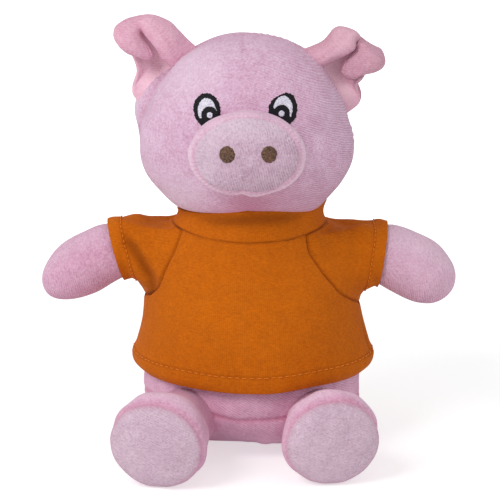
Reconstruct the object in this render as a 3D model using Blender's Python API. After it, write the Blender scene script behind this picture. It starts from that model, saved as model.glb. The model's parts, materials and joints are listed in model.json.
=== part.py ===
"""A sitting plush pig in a knitted shirt: its sewn fabric panels and the fillings inside them.

Metres, +Z up. The pig faces -Y and sits on the plane z = 0, with the middle of its flat seat at
the origin. Left and right are the pig's own, so its left arm points to +X.
"""
import math

import bmesh
import bpy
import numpy as np
from mathutils import Matrix, Vector

# Cloth, thread and the room that touching pieces keep
PLUSH = 0.0012
JERSEY = 0.0011
THREAD = 0.0008
GAP = 0.0003
SWING_GAP = 0.0006
OVERRUN = 0.004

# How finely round forms are divided
BODY_SIDES = 24
LIMB_SIDES = 16
SOCKET_SIDES = 24
RECESS_SIDES = 32

# Torso: level ovals from the seat to the neck seam
TORSO_HEIGHT = 0.091
TORSO_HALF_WIDTH = 0.047
TORSO_FRONT = 0.0405
TORSO_BACK = 0.035
TORSO_LEVEL_SHARES = (0.0, 0.0, 0.018, 0.06, 0.135, 0.225, 0.37, 0.53, 0.68, 0.82, 0.93, 1.0)
TORSO_WIDTH_SHARES = (0.4, 0.70, 0.80, 0.895, 0.965, 1.0, 0.99, 0.94, 0.86, 0.745, 0.63, 0.56)
TORSO_FRONT_SHARES = (0.35, 0.60, 0.72, 0.84, 0.94, 1.0, 1.0, 0.96, 0.89, 0.80, 0.705, 0.65)
TORSO_BACK_SHARES = (0.4, 0.69, 0.78, 0.88, 0.95, 1.0, 0.985, 0.94, 0.89, 0.83, 0.775, 0.75)
SEAT_SEAM_LEVEL = 5

# Bag of pellets that weighs the seat down
POUCH_HALF_WIDTH = 0.024
POUCH_HALF_DEPTH = 0.016
POUCH_HEIGHT = 0.013
POUCH_BEHIND = 0.006

# Neck: a domed wad of filling that the head rocks and turns on
NECK_PIVOT_Z = 0.078
NECK_DOME = 0.0375
NECK_RADIUS = 0.0267

# Head: a front and a back panel joined by a seam over the crown
HEAD_CENTRE_Z = 0.131
HEAD_HALF_WIDTH = 0.0452
HEAD_FRONT = 0.039
HEAD_BACK = 0.036
HEAD_FULLNESS = 0.8
HEAD_RINGS = 7
HEAD_OUTLINE_DEG = (-90, -66, -43, -29, -10, 14, 33, 45, 56, 75, 90)
HEAD_OUTLINE_SHARES = (0.82, 0.855, 0.907, 0.96, 1.0, 0.93, 0.895, 0.903, 0.903, 0.9, 0.903)

# Snout: a band of plush with a front pad sewn into its rim
SNOUT_CENTRE_Z = 0.1302
SNOUT_HALF_WIDTH = 0.0232
SNOUT_HALF_HEIGHT = 0.0168
SNOUT_RIM_Y = -0.0488
SNOUT_ROOT_Y = -0.031
SNOUT_DOME = 0.0038
SNOUT_ROOT_SHARE = 0.95
SNOUT_PAD_SHARE = 0.93
SNOUT_NOTCH = 0.0016
SNOUT_NOTCH_WIDTH = 0.0032
NOSTRIL_SPREAD = 0.0077
NOSTRIL_RISE = 0.0012
NOSTRIL_HALF_WIDTH = 0.003
NOSTRIL_HALF_HEIGHT = 0.0033

# Eyes: three embroidered patches a side
EYE_SPREAD = 0.0153
EYE_Z = 0.1475
EYE_HALF_WIDTH = 0.0054
EYE_HALF_HEIGHT = 0.0066
EYE_RIM = 0.0013
PUPIL_RADIUS = 0.0034
PUPIL_INWARD = 0.0012
PUPIL_DROP = 0.0018
CRESCENT_OUTER_DEG = (-35, 158)
CRESCENT_INNER_DEG = (-15, 135)
GLINT_HALF_WIDTH = 0.0011
GLINT_HALF_HEIGHT = 0.0012

# Ears: two panels a side, sewn along the crown seam
EAR_BASE_START_DEG = 20
EAR_BASE_END_DEG = 54
EAR_BASE_GAP = 0.0013
EAR_TIP_OUT = 0.0555
EAR_TIP_Z = 0.172
EAR_TIP_FORWARD = 0.008
EAR_RISE = 0.0155
EAR_LOWER_SWELL = 0.006
EAR_CUP = 0.006
EAR_ROWS = 7
EAR_COLUMNS = 7
EAR_TIP_SHARE = 0.93

# Arms: tubes that stand out from the shoulders and droop a little
SHOULDER_OUT = 0.044
SHOULDER_Z = 0.0795
SHOULDER_BALL = 0.0168
ARM_LENGTH = 0.0428
ARM_RADIUS = 0.0132
ARM_DROOP_DEG = 16
ARM_BOW = 0.0038
ARM_STATION_SHARES = (-0.25, -0.1, 0.08, 0.28, 0.48, 0.66, 0.80, 0.91, 0.97, 1.0)
ARM_RADIUS_SHARES = (0.80, 0.88, 0.89, 0.88, 0.95, 1.0, 0.96, 0.78, 0.52, 0.22)

# Shirt: jersey front and back, raglan sleeves and a folded neck band
SHIRT_TOP_Z = 0.0907
SHOULDER_RISE = 0.003
SHIRT_HALF_WIDTH = 0.0503
SHIRT_FRONT = 0.0446
SHIRT_BACK = 0.0386
SHIRT_LEVEL_SHARES = (0.0, 0.14, 0.31, 0.50, 0.69, 0.86, 1.0)
SHIRT_WIDTH_SHARES = (1.0, 0.985, 0.94, 0.885, 0.82, 0.735, 0.632)
SHIRT_FRONT_SHARES = (1.0, 0.99, 0.965, 0.91, 0.835, 0.76, 0.709)
SHIRT_BACK_SHARES = (1.0, 0.985, 0.96, 0.91, 0.86, 0.83, 0.819)
HEM_FRONT_Z = 0.0326
HEM_SIDE_Z = 0.0352
HEM_BACK_Z = 0.033
COLLAR_BOTTOM_RADIUS = 0.0318
COLLAR_TOP_RADIUS = 0.0293
COLLAR_WALL = 0.0024
SLEEVE_LENGTH = 0.0138
SLEEVE_CUFF_RADIUS = 0.0134
SLEEVE_ROOT = 0.0145

# Legs: stubby tubes that lie forward, each closed by a round sole
HIP_OUT = 0.027
HIP_Y = -0.034
HIP_Z = 0.0175
HIP_BALL = 0.016
LEG_RADIUS = 0.0190
LEG_ROOT = 0.0115
LEG_STATION_SHARES = (0.0, 0.16, 0.22, 0.33, 0.50, 0.72, 0.90, 1.0)
LEG_RADIUS_SHARES = (0.842, 0.775, 0.768, 0.81, 0.905, 0.978, 1.0, 0.955)
SOLE_INSET_SHARE = 0.93
SOLE_DOME = 0.0016
FOOT_CENTRE_Z = 0.0192
LEFT_FOOT_OUT = 0.0322
LEFT_FOOT_Y = -0.0655
RIGHT_FOOT_OUT = 0.0352
RIGHT_FOOT_Y = -0.0695

# Tail: one curl of a thin stuffed tube
TAIL_RADIUS = 0.0027
TAIL_CURL = 0.0044
TAIL_REACH = 0.015
TAIL_Z = 0.017
TAIL_POINTS = 15
TAIL_ROOT_SHARE = 0.35
TAIL_TIP_SHARE = 0.5
TAIL_ROOT_GAP = 0.0007


def clear_scene():
    for old in list(bpy.data.objects):
        bpy.data.objects.remove(old, do_unlink=True)


def finish(name, colour, roughness, sheen=0.0):
    """One matte material in the piece's own colour."""
    material = bpy.data.materials.new(name)
    material.use_nodes = True
    shader = material.node_tree.nodes["Principled BSDF"]
    shader.inputs["Base Color"].default_value = (*colour, 1.0)
    shader.inputs["Roughness"].default_value = roughness
    shader.inputs["Metallic"].default_value = 0.0
    shader.inputs["Sheen Weight"].default_value = sheen
    return material


def pink_plush():
    return finish("pink_plush", (0.72, 0.44, 0.60), 0.95, 0.4)


def sole_plush():
    return finish("sole_plush", (0.62, 0.45, 0.58), 0.95, 0.3)


def orange_jersey():
    return finish("orange_jersey", (0.60, 0.14, 0.01), 0.9, 0.1)


def black_thread():
    return finish("black_thread", (0.01, 0.01, 0.011), 0.5)


def white_thread():
    return finish("white_thread", (0.85, 0.85, 0.86), 0.5)


def brown_thread():
    return finish("brown_thread", (0.15, 0.07, 0.035), 0.6)


def polyester_fill():
    return finish("polyester_fill", (0.85, 0.85, 0.83), 1.0)


def pellet_bag():
    return finish("pellet_bag", (0.7, 0.7, 0.7), 0.9)


def add_object(name, points, faces, material):
    """Make one closed mesh object with its faces pointing out."""
    mesh = bpy.data.meshes.new(name)
    mesh.from_pydata([tuple(point) for point in points], [], faces)
    form = bmesh.new()
    form.from_mesh(mesh)
    bmesh.ops.recalc_face_normals(form, faces=form.faces)
    form.to_mesh(mesh)
    form.free()
    mesh.shade_smooth()
    mesh.set_sharp_from_angle(angle=math.radians(50))
    if material:
        mesh.materials.append(material)
    made = bpy.data.objects.new(name, mesh)
    bpy.context.collection.objects.link(made)
    return made


def ring_body(name, rings, material, joined=False):
    """Skin a row of rings; the two ends are capped, or joined to each other."""
    rings = np.asarray(rings)
    rows, sides = rings.shape[:2]
    faces = []
    for row in range(rows if joined else rows - 1):
        here = row * sides
        there = (row + 1) % rows * sides
        for side in range(sides):
            after = (side + 1) % sides
            faces.append((here + side, here + after, there + after, there + side))
    if not joined:
        faces.append(tuple(range(sides)))
        faces.append(tuple(range((rows - 1) * sides, rows * sides)))
    return add_object(name, rings.reshape(-1, 3), faces, material)


def patch(name, outer, inner, material):
    """Close a patch of cloth: an outer and an inner grid and the strip round their edge."""
    rows, columns = outer.shape[:2]
    first = rows * columns
    faces = []
    for row in range(rows - 1):
        for column in range(columns - 1):
            corner = row * columns + column
            face = (corner, corner + 1, corner + columns + 1, corner + columns)
            faces.append(face)
            faces.append(tuple(first + point for point in reversed(face)))
    edge = [column for column in range(columns)]
    edge += [row * columns + columns - 1 for row in range(1, rows)]
    edge += [(rows - 1) * columns + column for column in range(columns - 2, -1, -1)]
    edge += [row * columns for row in range(rows - 2, 0, -1)]
    for here, there in zip(edge, edge[1:] + edge[:1]):
        faces.append((here, there, first + there, first + here))
    return add_object(name, np.concatenate([outer.reshape(-1, 3), inner.reshape(-1, 3)]), faces, material)


def moved(rings, depth):
    """Move closed rings inwards by a depth, square to the surface; a negative depth moves them out."""
    around = np.roll(rings, -1, axis=1) - np.roll(rings, 1, axis=1)
    along = np.gradient(rings, axis=0)
    square = np.cross(around, along)
    square /= np.linalg.norm(square, axis=2, keepdims=True)
    outward = np.sign(np.sum(square * (rings - rings.mean(axis=1, keepdims=True))))
    return rings - depth * outward * square


def smooth(stations, values, at):
    """Read the smooth curve through the given values at any station (Hermite, centred slopes)."""
    stations = np.asarray(stations, float)
    values = np.asarray(values, float)
    slopes = np.gradient(values, stations)
    step = np.clip(np.searchsorted(stations, at, side="right") - 1, 0, len(stations) - 2)
    run = stations[step + 1] - stations[step]
    share = (at - stations[step]) / run
    start = (1 + 2 * share) * (1 - share) ** 2 * values[step] + share * (1 - share) ** 2 * run * slopes[step]
    end = share**2 * (3 - 2 * share) * values[step + 1] - share**2 * (1 - share) * run * slopes[step + 1]
    return start + end


def as_cutter(shape):
    shape.display_type = "WIRE"
    shape.hide_render = True
    return shape


def change(piece, tool, operation="DIFFERENCE"):
    step = piece.modifiers.new(tool.name, "BOOLEAN")
    step.operation = operation
    step.solver = "EXACT"
    step.object = tool
    return piece


def ball_cutter(name, centre, radius, sides):
    """A ball that clears the room in which a joint swings."""
    form = bmesh.new()
    bmesh.ops.create_uvsphere(form, u_segments=sides, v_segments=sides // 2, radius=radius)
    bmesh.ops.translate(form, verts=form.verts, vec=centre)
    mesh = bpy.data.meshes.new(name)
    form.to_mesh(mesh)
    form.free()
    shape = bpy.data.objects.new(name, mesh)
    bpy.context.collection.objects.link(shape)
    return as_cutter(shape)


def pivot(name, place):
    """An empty on a joint's axis; the pieces that it carries keep their origin there."""
    mark = bpy.data.objects.new(name, None)
    mark.location = place
    bpy.context.collection.objects.link(mark)
    return mark


def hang(pieces, mark):
    for piece in pieces:
        piece.data.transform(Matrix.Translation(-mark.location))
        piece.parent = mark


def seam_angles():
    """Angles round the torso: the front half, then the back half, parted by the side seams."""
    slit = GAP / TORSO_HALF_WIDTH
    front = np.linspace(-math.pi + slit, -slit, BODY_SIDES // 2)
    back = np.linspace(slit, math.pi - slit, BODY_SIDES // 2)
    return np.concatenate([front, back])


def oval(half_width, front, back, heights, angles):
    """A level oval with its own depth at the front and at the back."""
    across = half_width * np.cos(angles)
    depth = np.where(np.sin(angles) < 0, front, back) * np.sin(angles)
    return np.column_stack([across, depth, heights * np.ones_like(angles)])


def torso_rings(angles):
    """The torso's outer surface, one ring for each level from the seat to the neck seam."""
    levels = zip(TORSO_LEVEL_SHARES, TORSO_WIDTH_SHARES, TORSO_FRONT_SHARES, TORSO_BACK_SHARES)
    rings = []
    for level, width, front, back in levels:
        sizes = (width * TORSO_HALF_WIDTH, front * TORSO_FRONT, back * TORSO_BACK)
        rings.append(oval(*sizes, level * TORSO_HEIGHT, angles))
    return np.array(rings)


def halves(name, outer, inner, material):
    """Cut a ringed surface at its side seams into a front and a back panel."""
    middle = BODY_SIDES // 2
    front = patch(f"{name}_front", outer[:, :middle], inner[:, :middle], material)
    back = patch(f"{name}_back", outer[:, middle:], inner[:, middle:], material)
    return [front, back]


def torso_panels(material):
    outer = torso_rings(seam_angles())
    inner = moved(outer, PLUSH)
    low = SEAT_SEAM_LEVEL + 1
    seat = ring_body("body_seat_panel", np.concatenate([outer[:low], inner[:low][::-1]]), material)
    upper_outer = outer[SEAT_SEAM_LEVEL:].copy()
    upper_inner = inner[SEAT_SEAM_LEVEL:].copy()
    upper_outer[0, :, 2] += GAP
    upper_inner[0, :, 2] += GAP
    upper_inner[-1, :, 2] = TORSO_HEIGHT
    return [seat, *halves("body_panel", upper_outer, upper_inner, material)]


def pouch_rings(growth):
    """The pellet bag: a flat-bottomed cushion, grown by a clearance."""
    floor = PLUSH + GAP
    angles = np.linspace(0, 2 * math.pi, LIMB_SIDES, endpoint=False)
    rings = []
    for turn in np.radians((0, 30, 55, 78)):
        width = POUCH_HALF_WIDTH * math.cos(turn) + growth
        depth = POUCH_HALF_DEPTH * math.cos(turn) + growth
        height = floor + POUCH_HEIGHT * math.sin(turn) + growth * math.sin(turn)
        ring = oval(width, depth, depth, height, angles)
        ring[:, 1] += POUCH_BEHIND
        rings.append(ring)
    if growth:
        foot_ring = rings[0].copy()
        foot_ring[:, 2] = 0.0
        rings.insert(0, foot_ring)
    return rings


def torso_fill(material):
    angles = np.linspace(-math.pi, math.pi, BODY_SIDES - 2, endpoint=False)
    fill = ring_body("body_stuffing", moved(torso_rings(angles), PLUSH + GAP), material)
    return change(fill, as_cutter(ring_body("pouch_room", pouch_rings(GAP), None)))


def neck_fill(material):
    """A plug inside the neck band whose top is a dome round the neck's pivot."""
    edge = math.asin(NECK_RADIUS / NECK_DOME)
    base = TORSO_HEIGHT + GAP
    sizes = [(NECK_RADIUS, base)]
    for turn in np.linspace(edge, edge / 6, 6):
        sizes.append((NECK_DOME * math.sin(turn), NECK_PIVOT_Z + NECK_DOME * math.cos(turn)))
    angles = np.linspace(0, 2 * math.pi, BODY_SIDES, endpoint=False)
    rings = [oval(radius, radius, radius, height, angles) for radius, height in sizes]
    return ring_body("neck_stuffing", rings, material)


def head_outline(angles):
    """The head's reach from its centre in the front view, the same on both sides."""
    rise = np.degrees(np.arcsin(np.clip(np.sin(angles), -1, 1)))
    return HEAD_HALF_WIDTH * smooth(HEAD_OUTLINE_DEG, HEAD_OUTLINE_SHARES, rise)


def head_half(side):
    """Rings from the middle of the face, or of the back of the head, out to the crown seam."""
    depth = HEAD_FRONT if side < 0 else HEAD_BACK
    seam = math.acos((GAP / 2 / depth) ** (1 / HEAD_FULLNESS))
    angles = np.linspace(0, 2 * math.pi, BODY_SIDES, endpoint=False)
    reach = head_outline(angles)
    rings = []
    for turn in np.linspace(seam / HEAD_RINGS / 2, seam, HEAD_RINGS):
        spread = math.sin(turn) ** HEAD_FULLNESS
        ring = np.column_stack([reach * spread * np.cos(angles), 0 * angles, reach * spread * np.sin(angles)])
        ring += (0, side * depth * math.cos(turn) ** HEAD_FULLNESS, HEAD_CENTRE_Z)
        rings.append(ring)
    return np.array(rings)


def head_form(name, depth):
    """The whole head as one solid, moved in or out by a depth."""
    rings = np.concatenate([head_half(-1), head_half(1)[::-1][1:]])
    return ring_body(name, moved(rings, depth), None)


def head_panel(name, side, material, recess):
    outer = head_half(side)
    inner = moved(outer, PLUSH)
    inner[-1, :, 1] = outer[-1, :, 1]
    return change(ring_body(name, np.concatenate([outer, inner[::-1]]), material), recess)


def head_fill(material, recess):
    fill = head_form("head_stuffing", PLUSH + GAP)
    fill.data.materials.append(material)
    return change(fill, recess)


def snout_ring(scale, growth, y):
    """A broad oval with a small notch in the middle of its lower edge."""
    angles = np.linspace(0, 2 * math.pi, BODY_SIDES, endpoint=False) + math.pi / BODY_SIDES
    across = (SNOUT_HALF_WIDTH * scale + growth) * np.sign(np.cos(angles)) * np.abs(np.cos(angles)) ** HEAD_FULLNESS
    up = (SNOUT_HALF_HEIGHT * scale + growth) * np.sign(np.sin(angles)) * np.abs(np.sin(angles)) ** HEAD_FULLNESS
    notch = SNOUT_NOTCH * scale * np.exp(-((across / SNOUT_NOTCH_WIDTH) ** 2))
    up = np.where(up < 0, up + notch, up)
    return np.column_stack([across, y + 0 * across, SNOUT_CENTRE_Z + up])


def snout_pad_rings(growth):
    """The pad's face: rings that shrink as they rise over its dome."""
    rings = []
    for share in (1.0, 0.72, 0.42, 0.14):
        bulge = SNOUT_DOME * (1 - share**2)
        rings.append(snout_ring(SNOUT_PAD_SHARE * share, growth, SNOUT_RIM_Y - bulge - growth))
    return rings


def snout_form(name, growth):
    """The snout as one solid from inside the head to the front of the pad."""
    middle = (SNOUT_ROOT_Y + SNOUT_RIM_Y) / 2
    rings = [snout_ring(SNOUT_ROOT_SHARE, growth, SNOUT_ROOT_Y + OVERRUN)]
    rings += [snout_ring(SNOUT_ROOT_SHARE, growth, SNOUT_ROOT_Y), snout_ring(1.0, growth, middle)]
    return ring_body(name, rings + snout_pad_rings(growth), None)


def snout_band(material, head_room):
    """The side band: a ring of plush from the face to the pad's seam."""
    middle = (SNOUT_ROOT_Y + SNOUT_RIM_Y) / 2
    stations = ((SNOUT_ROOT_SHARE, SNOUT_ROOT_Y), (1.0, middle), (SNOUT_PAD_SHARE, SNOUT_RIM_Y + GAP))
    outer = [snout_ring(share, 0.0, y) for share, y in stations]
    inner = [snout_ring(share, -PLUSH, y) for share, y in stations]
    return change(ring_body("snout_band", outer + inner[::-1], material, joined=True), head_room)


def snout_pad(material):
    """The front pad: a domed face and, its thickness behind, the same face again."""
    outer = snout_pad_rings(0.0)
    inner = [ring + (0, PLUSH, 0) for ring in outer]
    inner[0] = snout_ring(SNOUT_PAD_SHARE, -PLUSH / 2, SNOUT_RIM_Y)
    return ring_body("snout_pad", outer[::-1] + inner, material)


def snout_fill(material, head_room):
    inset = -(PLUSH + GAP)
    rings = [snout_ring(SNOUT_ROOT_SHARE, inset, SNOUT_ROOT_Y)]
    rings.append(snout_ring(SNOUT_PAD_SHARE, inset, SNOUT_RIM_Y + PLUSH))
    rings += [ring + (0, PLUSH + GAP, 0) for ring in snout_pad_rings(0.0)[1:]]
    return change(ring_body("snout_stuffing", rings, material), head_room)


def ellipse(centre_x, centre_z, half_width, half_height, start=0, end=360, points=24):
    """Points of an ellipse, or of a part of it, in the front view."""
    whole = end - start == 360
    angles = np.radians(np.linspace(start, end, points, endpoint=not whole))
    return np.column_stack([centre_x + half_width * np.cos(angles), centre_z + half_height * np.sin(angles)])


def stamp(name, outline, material=None):
    """An outline in the front view carried straight through the face."""
    back = np.column_stack([outline[:, 0], 0 * outline[:, 0], outline[:, 1]])
    front = back + (0, 2 * SNOUT_RIM_Y, 0)
    return ring_body(name, [back, front], material)


def patch_of_thread(name, outline, material, over, under):
    """Embroidery: an outline kept between two surfaces that lie just over the cloth."""
    return change(change(stamp(name, outline, material), over, "INTERSECT"), under)


def eye_outlines(side):
    """The eye's rim, its white crescent, the crescent's room, its glint and the glint's room."""
    middle = side * EYE_SPREAD
    pupil_x = side * (EYE_SPREAD - PUPIL_INWARD)
    pupil_z = EYE_Z - PUPIL_DROP
    whole = ellipse(middle, EYE_Z, EYE_HALF_WIDTH, EYE_HALF_HEIGHT)

    def crescent(room):
        wide = EYE_HALF_WIDTH - EYE_RIM + room
        high = EYE_HALF_HEIGHT - EYE_RIM + room
        pupil = PUPIL_RADIUS - room
        turn = math.degrees(room / PUPIL_RADIUS)
        start, end = CRESCENT_OUTER_DEG
        outer = ellipse(0, EYE_Z, wide, high, start - turn, end + turn, 12)
        start, end = CRESCENT_INNER_DEG
        inner = ellipse(-PUPIL_INWARD, pupil_z, pupil, pupil, start - turn, end + turn, 12)
        loop = np.concatenate([outer, inner[::-1]])
        loop[:, 0] = middle + side * loop[:, 0]
        return loop

    glint = ellipse(pupil_x, pupil_z, GLINT_HALF_WIDTH, GLINT_HALF_HEIGHT, points=10)
    glint_room = ellipse(pupil_x, pupil_z, GLINT_HALF_WIDTH + GAP, GLINT_HALF_HEIGHT + GAP, points=10)
    return whole, crescent(0.0), crescent(GAP), glint, glint_room


def eye(side, label, black, white, over, under, snout_room):
    """Black rim and pupil in one patch, with a white crescent and a white glint let into it."""
    whole, crescent, crescent_room, glint, glint_room = eye_outlines(side)
    dark = patch_of_thread(f"eye_black_{label}", whole, black, over, under)
    change(dark, as_cutter(stamp(f"crescent_room_{label}", crescent_room)))
    change(dark, as_cutter(stamp(f"glint_room_{label}", glint_room)))
    pale = patch_of_thread(f"eye_white_{label}", crescent, white, over, under)
    spot = patch_of_thread(f"eye_glint_{label}", glint, white, over, under)
    return [change(piece, snout_room) for piece in (dark, pale, spot)]


def nostril(side, label, thread, over, under):
    place = (side * NOSTRIL_SPREAD, SNOUT_CENTRE_Z + NOSTRIL_RISE)
    outline = ellipse(*place, NOSTRIL_HALF_WIDTH, NOSTRIL_HALF_HEIGHT, points=14)
    return patch_of_thread(f"nostril_{label}", outline, thread, over, under)


def ear_base(angle_deg):
    """A point just off the crown seam at an angle round the head."""
    angle = np.radians(angle_deg)
    reach = head_outline(angle) + EAR_BASE_GAP
    return np.array([reach * np.cos(angle), 0.0 * reach, HEAD_CENTRE_Z + reach * np.sin(angle)])


def ear_surface():
    """The left ear's middle surface: from the crown seam out to a tip that droops forward.

    Rows run from the seam to the tip and columns from the lower to the upper edge. The upper
    edge rises and the lower edge swells on the way, and the whole leaf is cupped.
    """
    tip = np.array([EAR_TIP_OUT, -EAR_TIP_FORWARD, EAR_TIP_Z])
    rows = []
    for out in np.linspace(0, EAR_TIP_SHARE, EAR_ROWS):
        up = np.linspace(0, 1, EAR_COLUMNS)
        angles = EAR_BASE_START_DEG + (EAR_BASE_END_DEG - EAR_BASE_START_DEG) * up
        base = np.array([ear_base(angle) for angle in angles])
        line = base * (1 - out) + tip * out
        swell = math.sin(math.pi * out**0.9)
        line[:, 2] += EAR_RISE * swell * up - EAR_LOWER_SWELL * swell * (1 - up)
        line[:, 1] -= EAR_CUP * swell * np.sin(math.pi * up)
        rows.append(line)
    return np.array(rows)


def ear_panels(side, label, material):
    """The ear's front and back panels, one each side of its middle surface."""
    middle = ear_surface()
    square = np.cross(np.gradient(middle, axis=0), np.gradient(middle, axis=1))
    square /= np.linalg.norm(square, axis=2, keepdims=True)
    square *= np.sign(square[:, :, 1:2].sum()) * -1
    middle[:, :, 0] *= side
    square[:, :, 0] *= side
    near, far = GAP / 2, GAP / 2 + PLUSH
    front = patch(f"ear_front_panel_{label}", middle + far * square, middle + near * square, material)
    back = patch(f"ear_back_panel_{label}", middle - near * square, middle - far * square, material)
    return [front, back]


def limb_rings(root, along, sizes, length=1.0, bow=0.0):
    """Round rings square to a limb's axis; sizes lists (distance from the root, radius).

    The rings' centres rise above the axis by the bow in the middle of the length.
    """
    along = Vector(along).normalized()
    level = along.cross(Vector((0, 0, 1))).normalized()
    upright = level.cross(along)
    angles = np.linspace(0, 2 * math.pi, LIMB_SIDES, endpoint=False)
    circle = np.outer(np.cos(angles), level) + np.outer(np.sin(angles), upright)
    rings = []
    for distance, radius in sizes:
        rise = bow * math.sin(math.pi * min(max(distance / length, 0), 1)) * np.array(upright)
        rings.append(np.array(root) + distance * np.array(along) + rise + radius * circle)
    return np.array(rings)


def shoulder(side):
    return Vector((side * SHOULDER_OUT, 0, SHOULDER_Z))


def arm_direction(side):
    droop = math.radians(ARM_DROOP_DEG)
    return Vector((side * math.cos(droop), 0, -math.sin(droop)))


def arm_rings(side, sizes):
    return limb_rings(shoulder(side), arm_direction(side), sizes, ARM_LENGTH, ARM_BOW)


def arm(side, label, plush, fill):
    """A plush tube, round at the hand and open at the shoulder, over its filling."""
    shares = zip(ARM_STATION_SHARES, ARM_RADIUS_SHARES)
    outer = arm_rings(side, [(station * ARM_LENGTH, radius * ARM_RADIUS) for station, radius in shares])
    inner = moved(outer, PLUSH)
    skin = ring_body(f"arm_skin_{label}", np.concatenate([outer[::-1], inner]), plush)
    stuffing = ring_body(f"arm_stuffing_{label}", moved(outer, PLUSH + GAP), fill)
    return [skin, stuffing]


def sleeve(side, label, jersey):
    """A raglan sleeve: part of the shoulder's ball, then a cone to the hemmed cuff."""
    ball_end = SHOULDER_BALL / 4
    sizes = []
    for distance in np.linspace(-SLEEVE_ROOT, ball_end, 5):
        sizes.append((distance, math.sqrt(SHOULDER_BALL**2 - distance**2)))
    sizes.append(((ball_end + SLEEVE_LENGTH) / 2, (SHOULDER_BALL + SLEEVE_CUFF_RADIUS) / 2))
    sizes.append((SLEEVE_LENGTH, SLEEVE_CUFF_RADIUS))
    outer = arm_rings(side, sizes)
    inner = moved(outer, JERSEY)
    return ring_body(f"sleeve_{label}", np.concatenate([outer, inner[::-1]]), jersey, joined=True)


def hem_height(angles):
    """The hem's height round the body: lowest in front, and higher over the thighs and sides."""
    aside = np.abs(np.cos(angles))
    front = HEM_FRONT_Z + (HEM_SIDE_Z - HEM_FRONT_Z) * np.sin(math.pi / 2 * np.clip(2 * aside, 0, 1)) ** 2
    back = HEM_BACK_Z + (HEM_SIDE_Z - HEM_BACK_Z) * aside**2
    return np.where(np.sin(angles) < 0, front, back)


def shoulder_rise(angles):
    """How far the neck seam climbs over the shoulders."""
    return SHOULDER_RISE * np.cos(angles) ** 2


def shirt_rings():
    """The shirt's outer surface from its hem to the neck band."""
    angles = seam_angles()
    hem = hem_height(angles)
    top = SHIRT_TOP_Z + shoulder_rise(angles)
    levels = zip(SHIRT_LEVEL_SHARES, SHIRT_WIDTH_SHARES, SHIRT_FRONT_SHARES, SHIRT_BACK_SHARES)
    rings = []
    for level, width, front, back in levels:
        sizes = (width * SHIRT_HALF_WIDTH, front * SHIRT_FRONT, back * SHIRT_BACK)
        rings.append(oval(*sizes, hem + (top - hem) * level, angles))
    return np.array(rings)


def shirt_panels(material):
    outer = shirt_rings()
    inner = moved(outer, JERSEY)
    inner[0, :, 2] = outer[0, :, 2]
    inner[-1, :, 2] = outer[-1, :, 2]
    return halves("shirt", outer, inner, material)


def collar(material):
    """The neck band: a short cone of folded jersey whose rim just clears the head."""
    angles = np.linspace(0, 2 * math.pi, BODY_SIDES, endpoint=False)
    bottom = SHIRT_TOP_Z + GAP + shoulder_rise(angles)
    top = NECK_PIVOT_Z + math.sqrt(NECK_DOME**2 - COLLAR_TOP_RADIUS**2)
    outer = []
    inner = []
    for share in (0.0, 0.25, 0.6, 1.0):
        radius = COLLAR_BOTTOM_RADIUS + (COLLAR_TOP_RADIUS - COLLAR_BOTTOM_RADIUS) * share
        height = bottom + (top - bottom) * share
        outer.append(oval(radius, radius, radius, height, angles))
        inner.append(oval(radius - COLLAR_WALL, radius - COLLAR_WALL, radius - COLLAR_WALL, height, angles))
    return ring_body("shirt_collar", outer + inner[::-1], material, joined=True)


def hip(side):
    return Vector((side * HIP_OUT, HIP_Y, HIP_Z))


def foot(side):
    if side > 0:
        return Vector((LEFT_FOOT_OUT, LEFT_FOOT_Y, FOOT_CENTRE_Z))
    return Vector((-RIGHT_FOOT_OUT, RIGHT_FOOT_Y, FOOT_CENTRE_Z))


def leg(side, label, plush, sole, fill):
    """A tube that starts as part of the hip's ball, swells towards the foot and ends at its sole."""
    root = hip(side)
    along = foot(side) - root
    length = along.length
    ball = [(-share * LEG_ROOT, math.sqrt(HIP_BALL**2 - (share * LEG_ROOT) ** 2)) for share in (1.0, 0.5)]
    tube = [(share * length, radius * LEG_RADIUS) for share, radius in zip(LEG_STATION_SHARES, LEG_RADIUS_SHARES)]
    outer = limb_rings(root, along, ball + tube)
    inner = moved(outer, PLUSH)
    skin = ring_body(f"leg_skin_{label}", np.concatenate([outer, inner[::-1]]), plush, joined=True)
    rim = LEG_RADIUS * SOLE_INSET_SHARE
    faces = [(length + SOLE_DOME, rim / 2), (length + GAP, rim - PLUSH), (length + GAP, rim)]
    faces += [(length + GAP + PLUSH, rim - PLUSH / 2), (length + SOLE_DOME + PLUSH, rim / 2)]
    pad = ring_body(f"leg_sole_{label}", limb_rings(root, along, faces), sole)
    stuffing = ring_body(f"leg_stuffing_{label}", moved(outer, PLUSH + GAP), fill)
    return [skin, pad, stuffing]


def tail_start():
    """The point on the back where the tail is sewn in, its clearance off the plush."""
    level = TAIL_Z / TORSO_HEIGHT
    depth = TORSO_BACK * smooth(TORSO_LEVEL_SHARES[1:], TORSO_BACK_SHARES[1:], level)
    return Vector((0, float(depth) + TAIL_ROOT_GAP, TAIL_Z))


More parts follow.
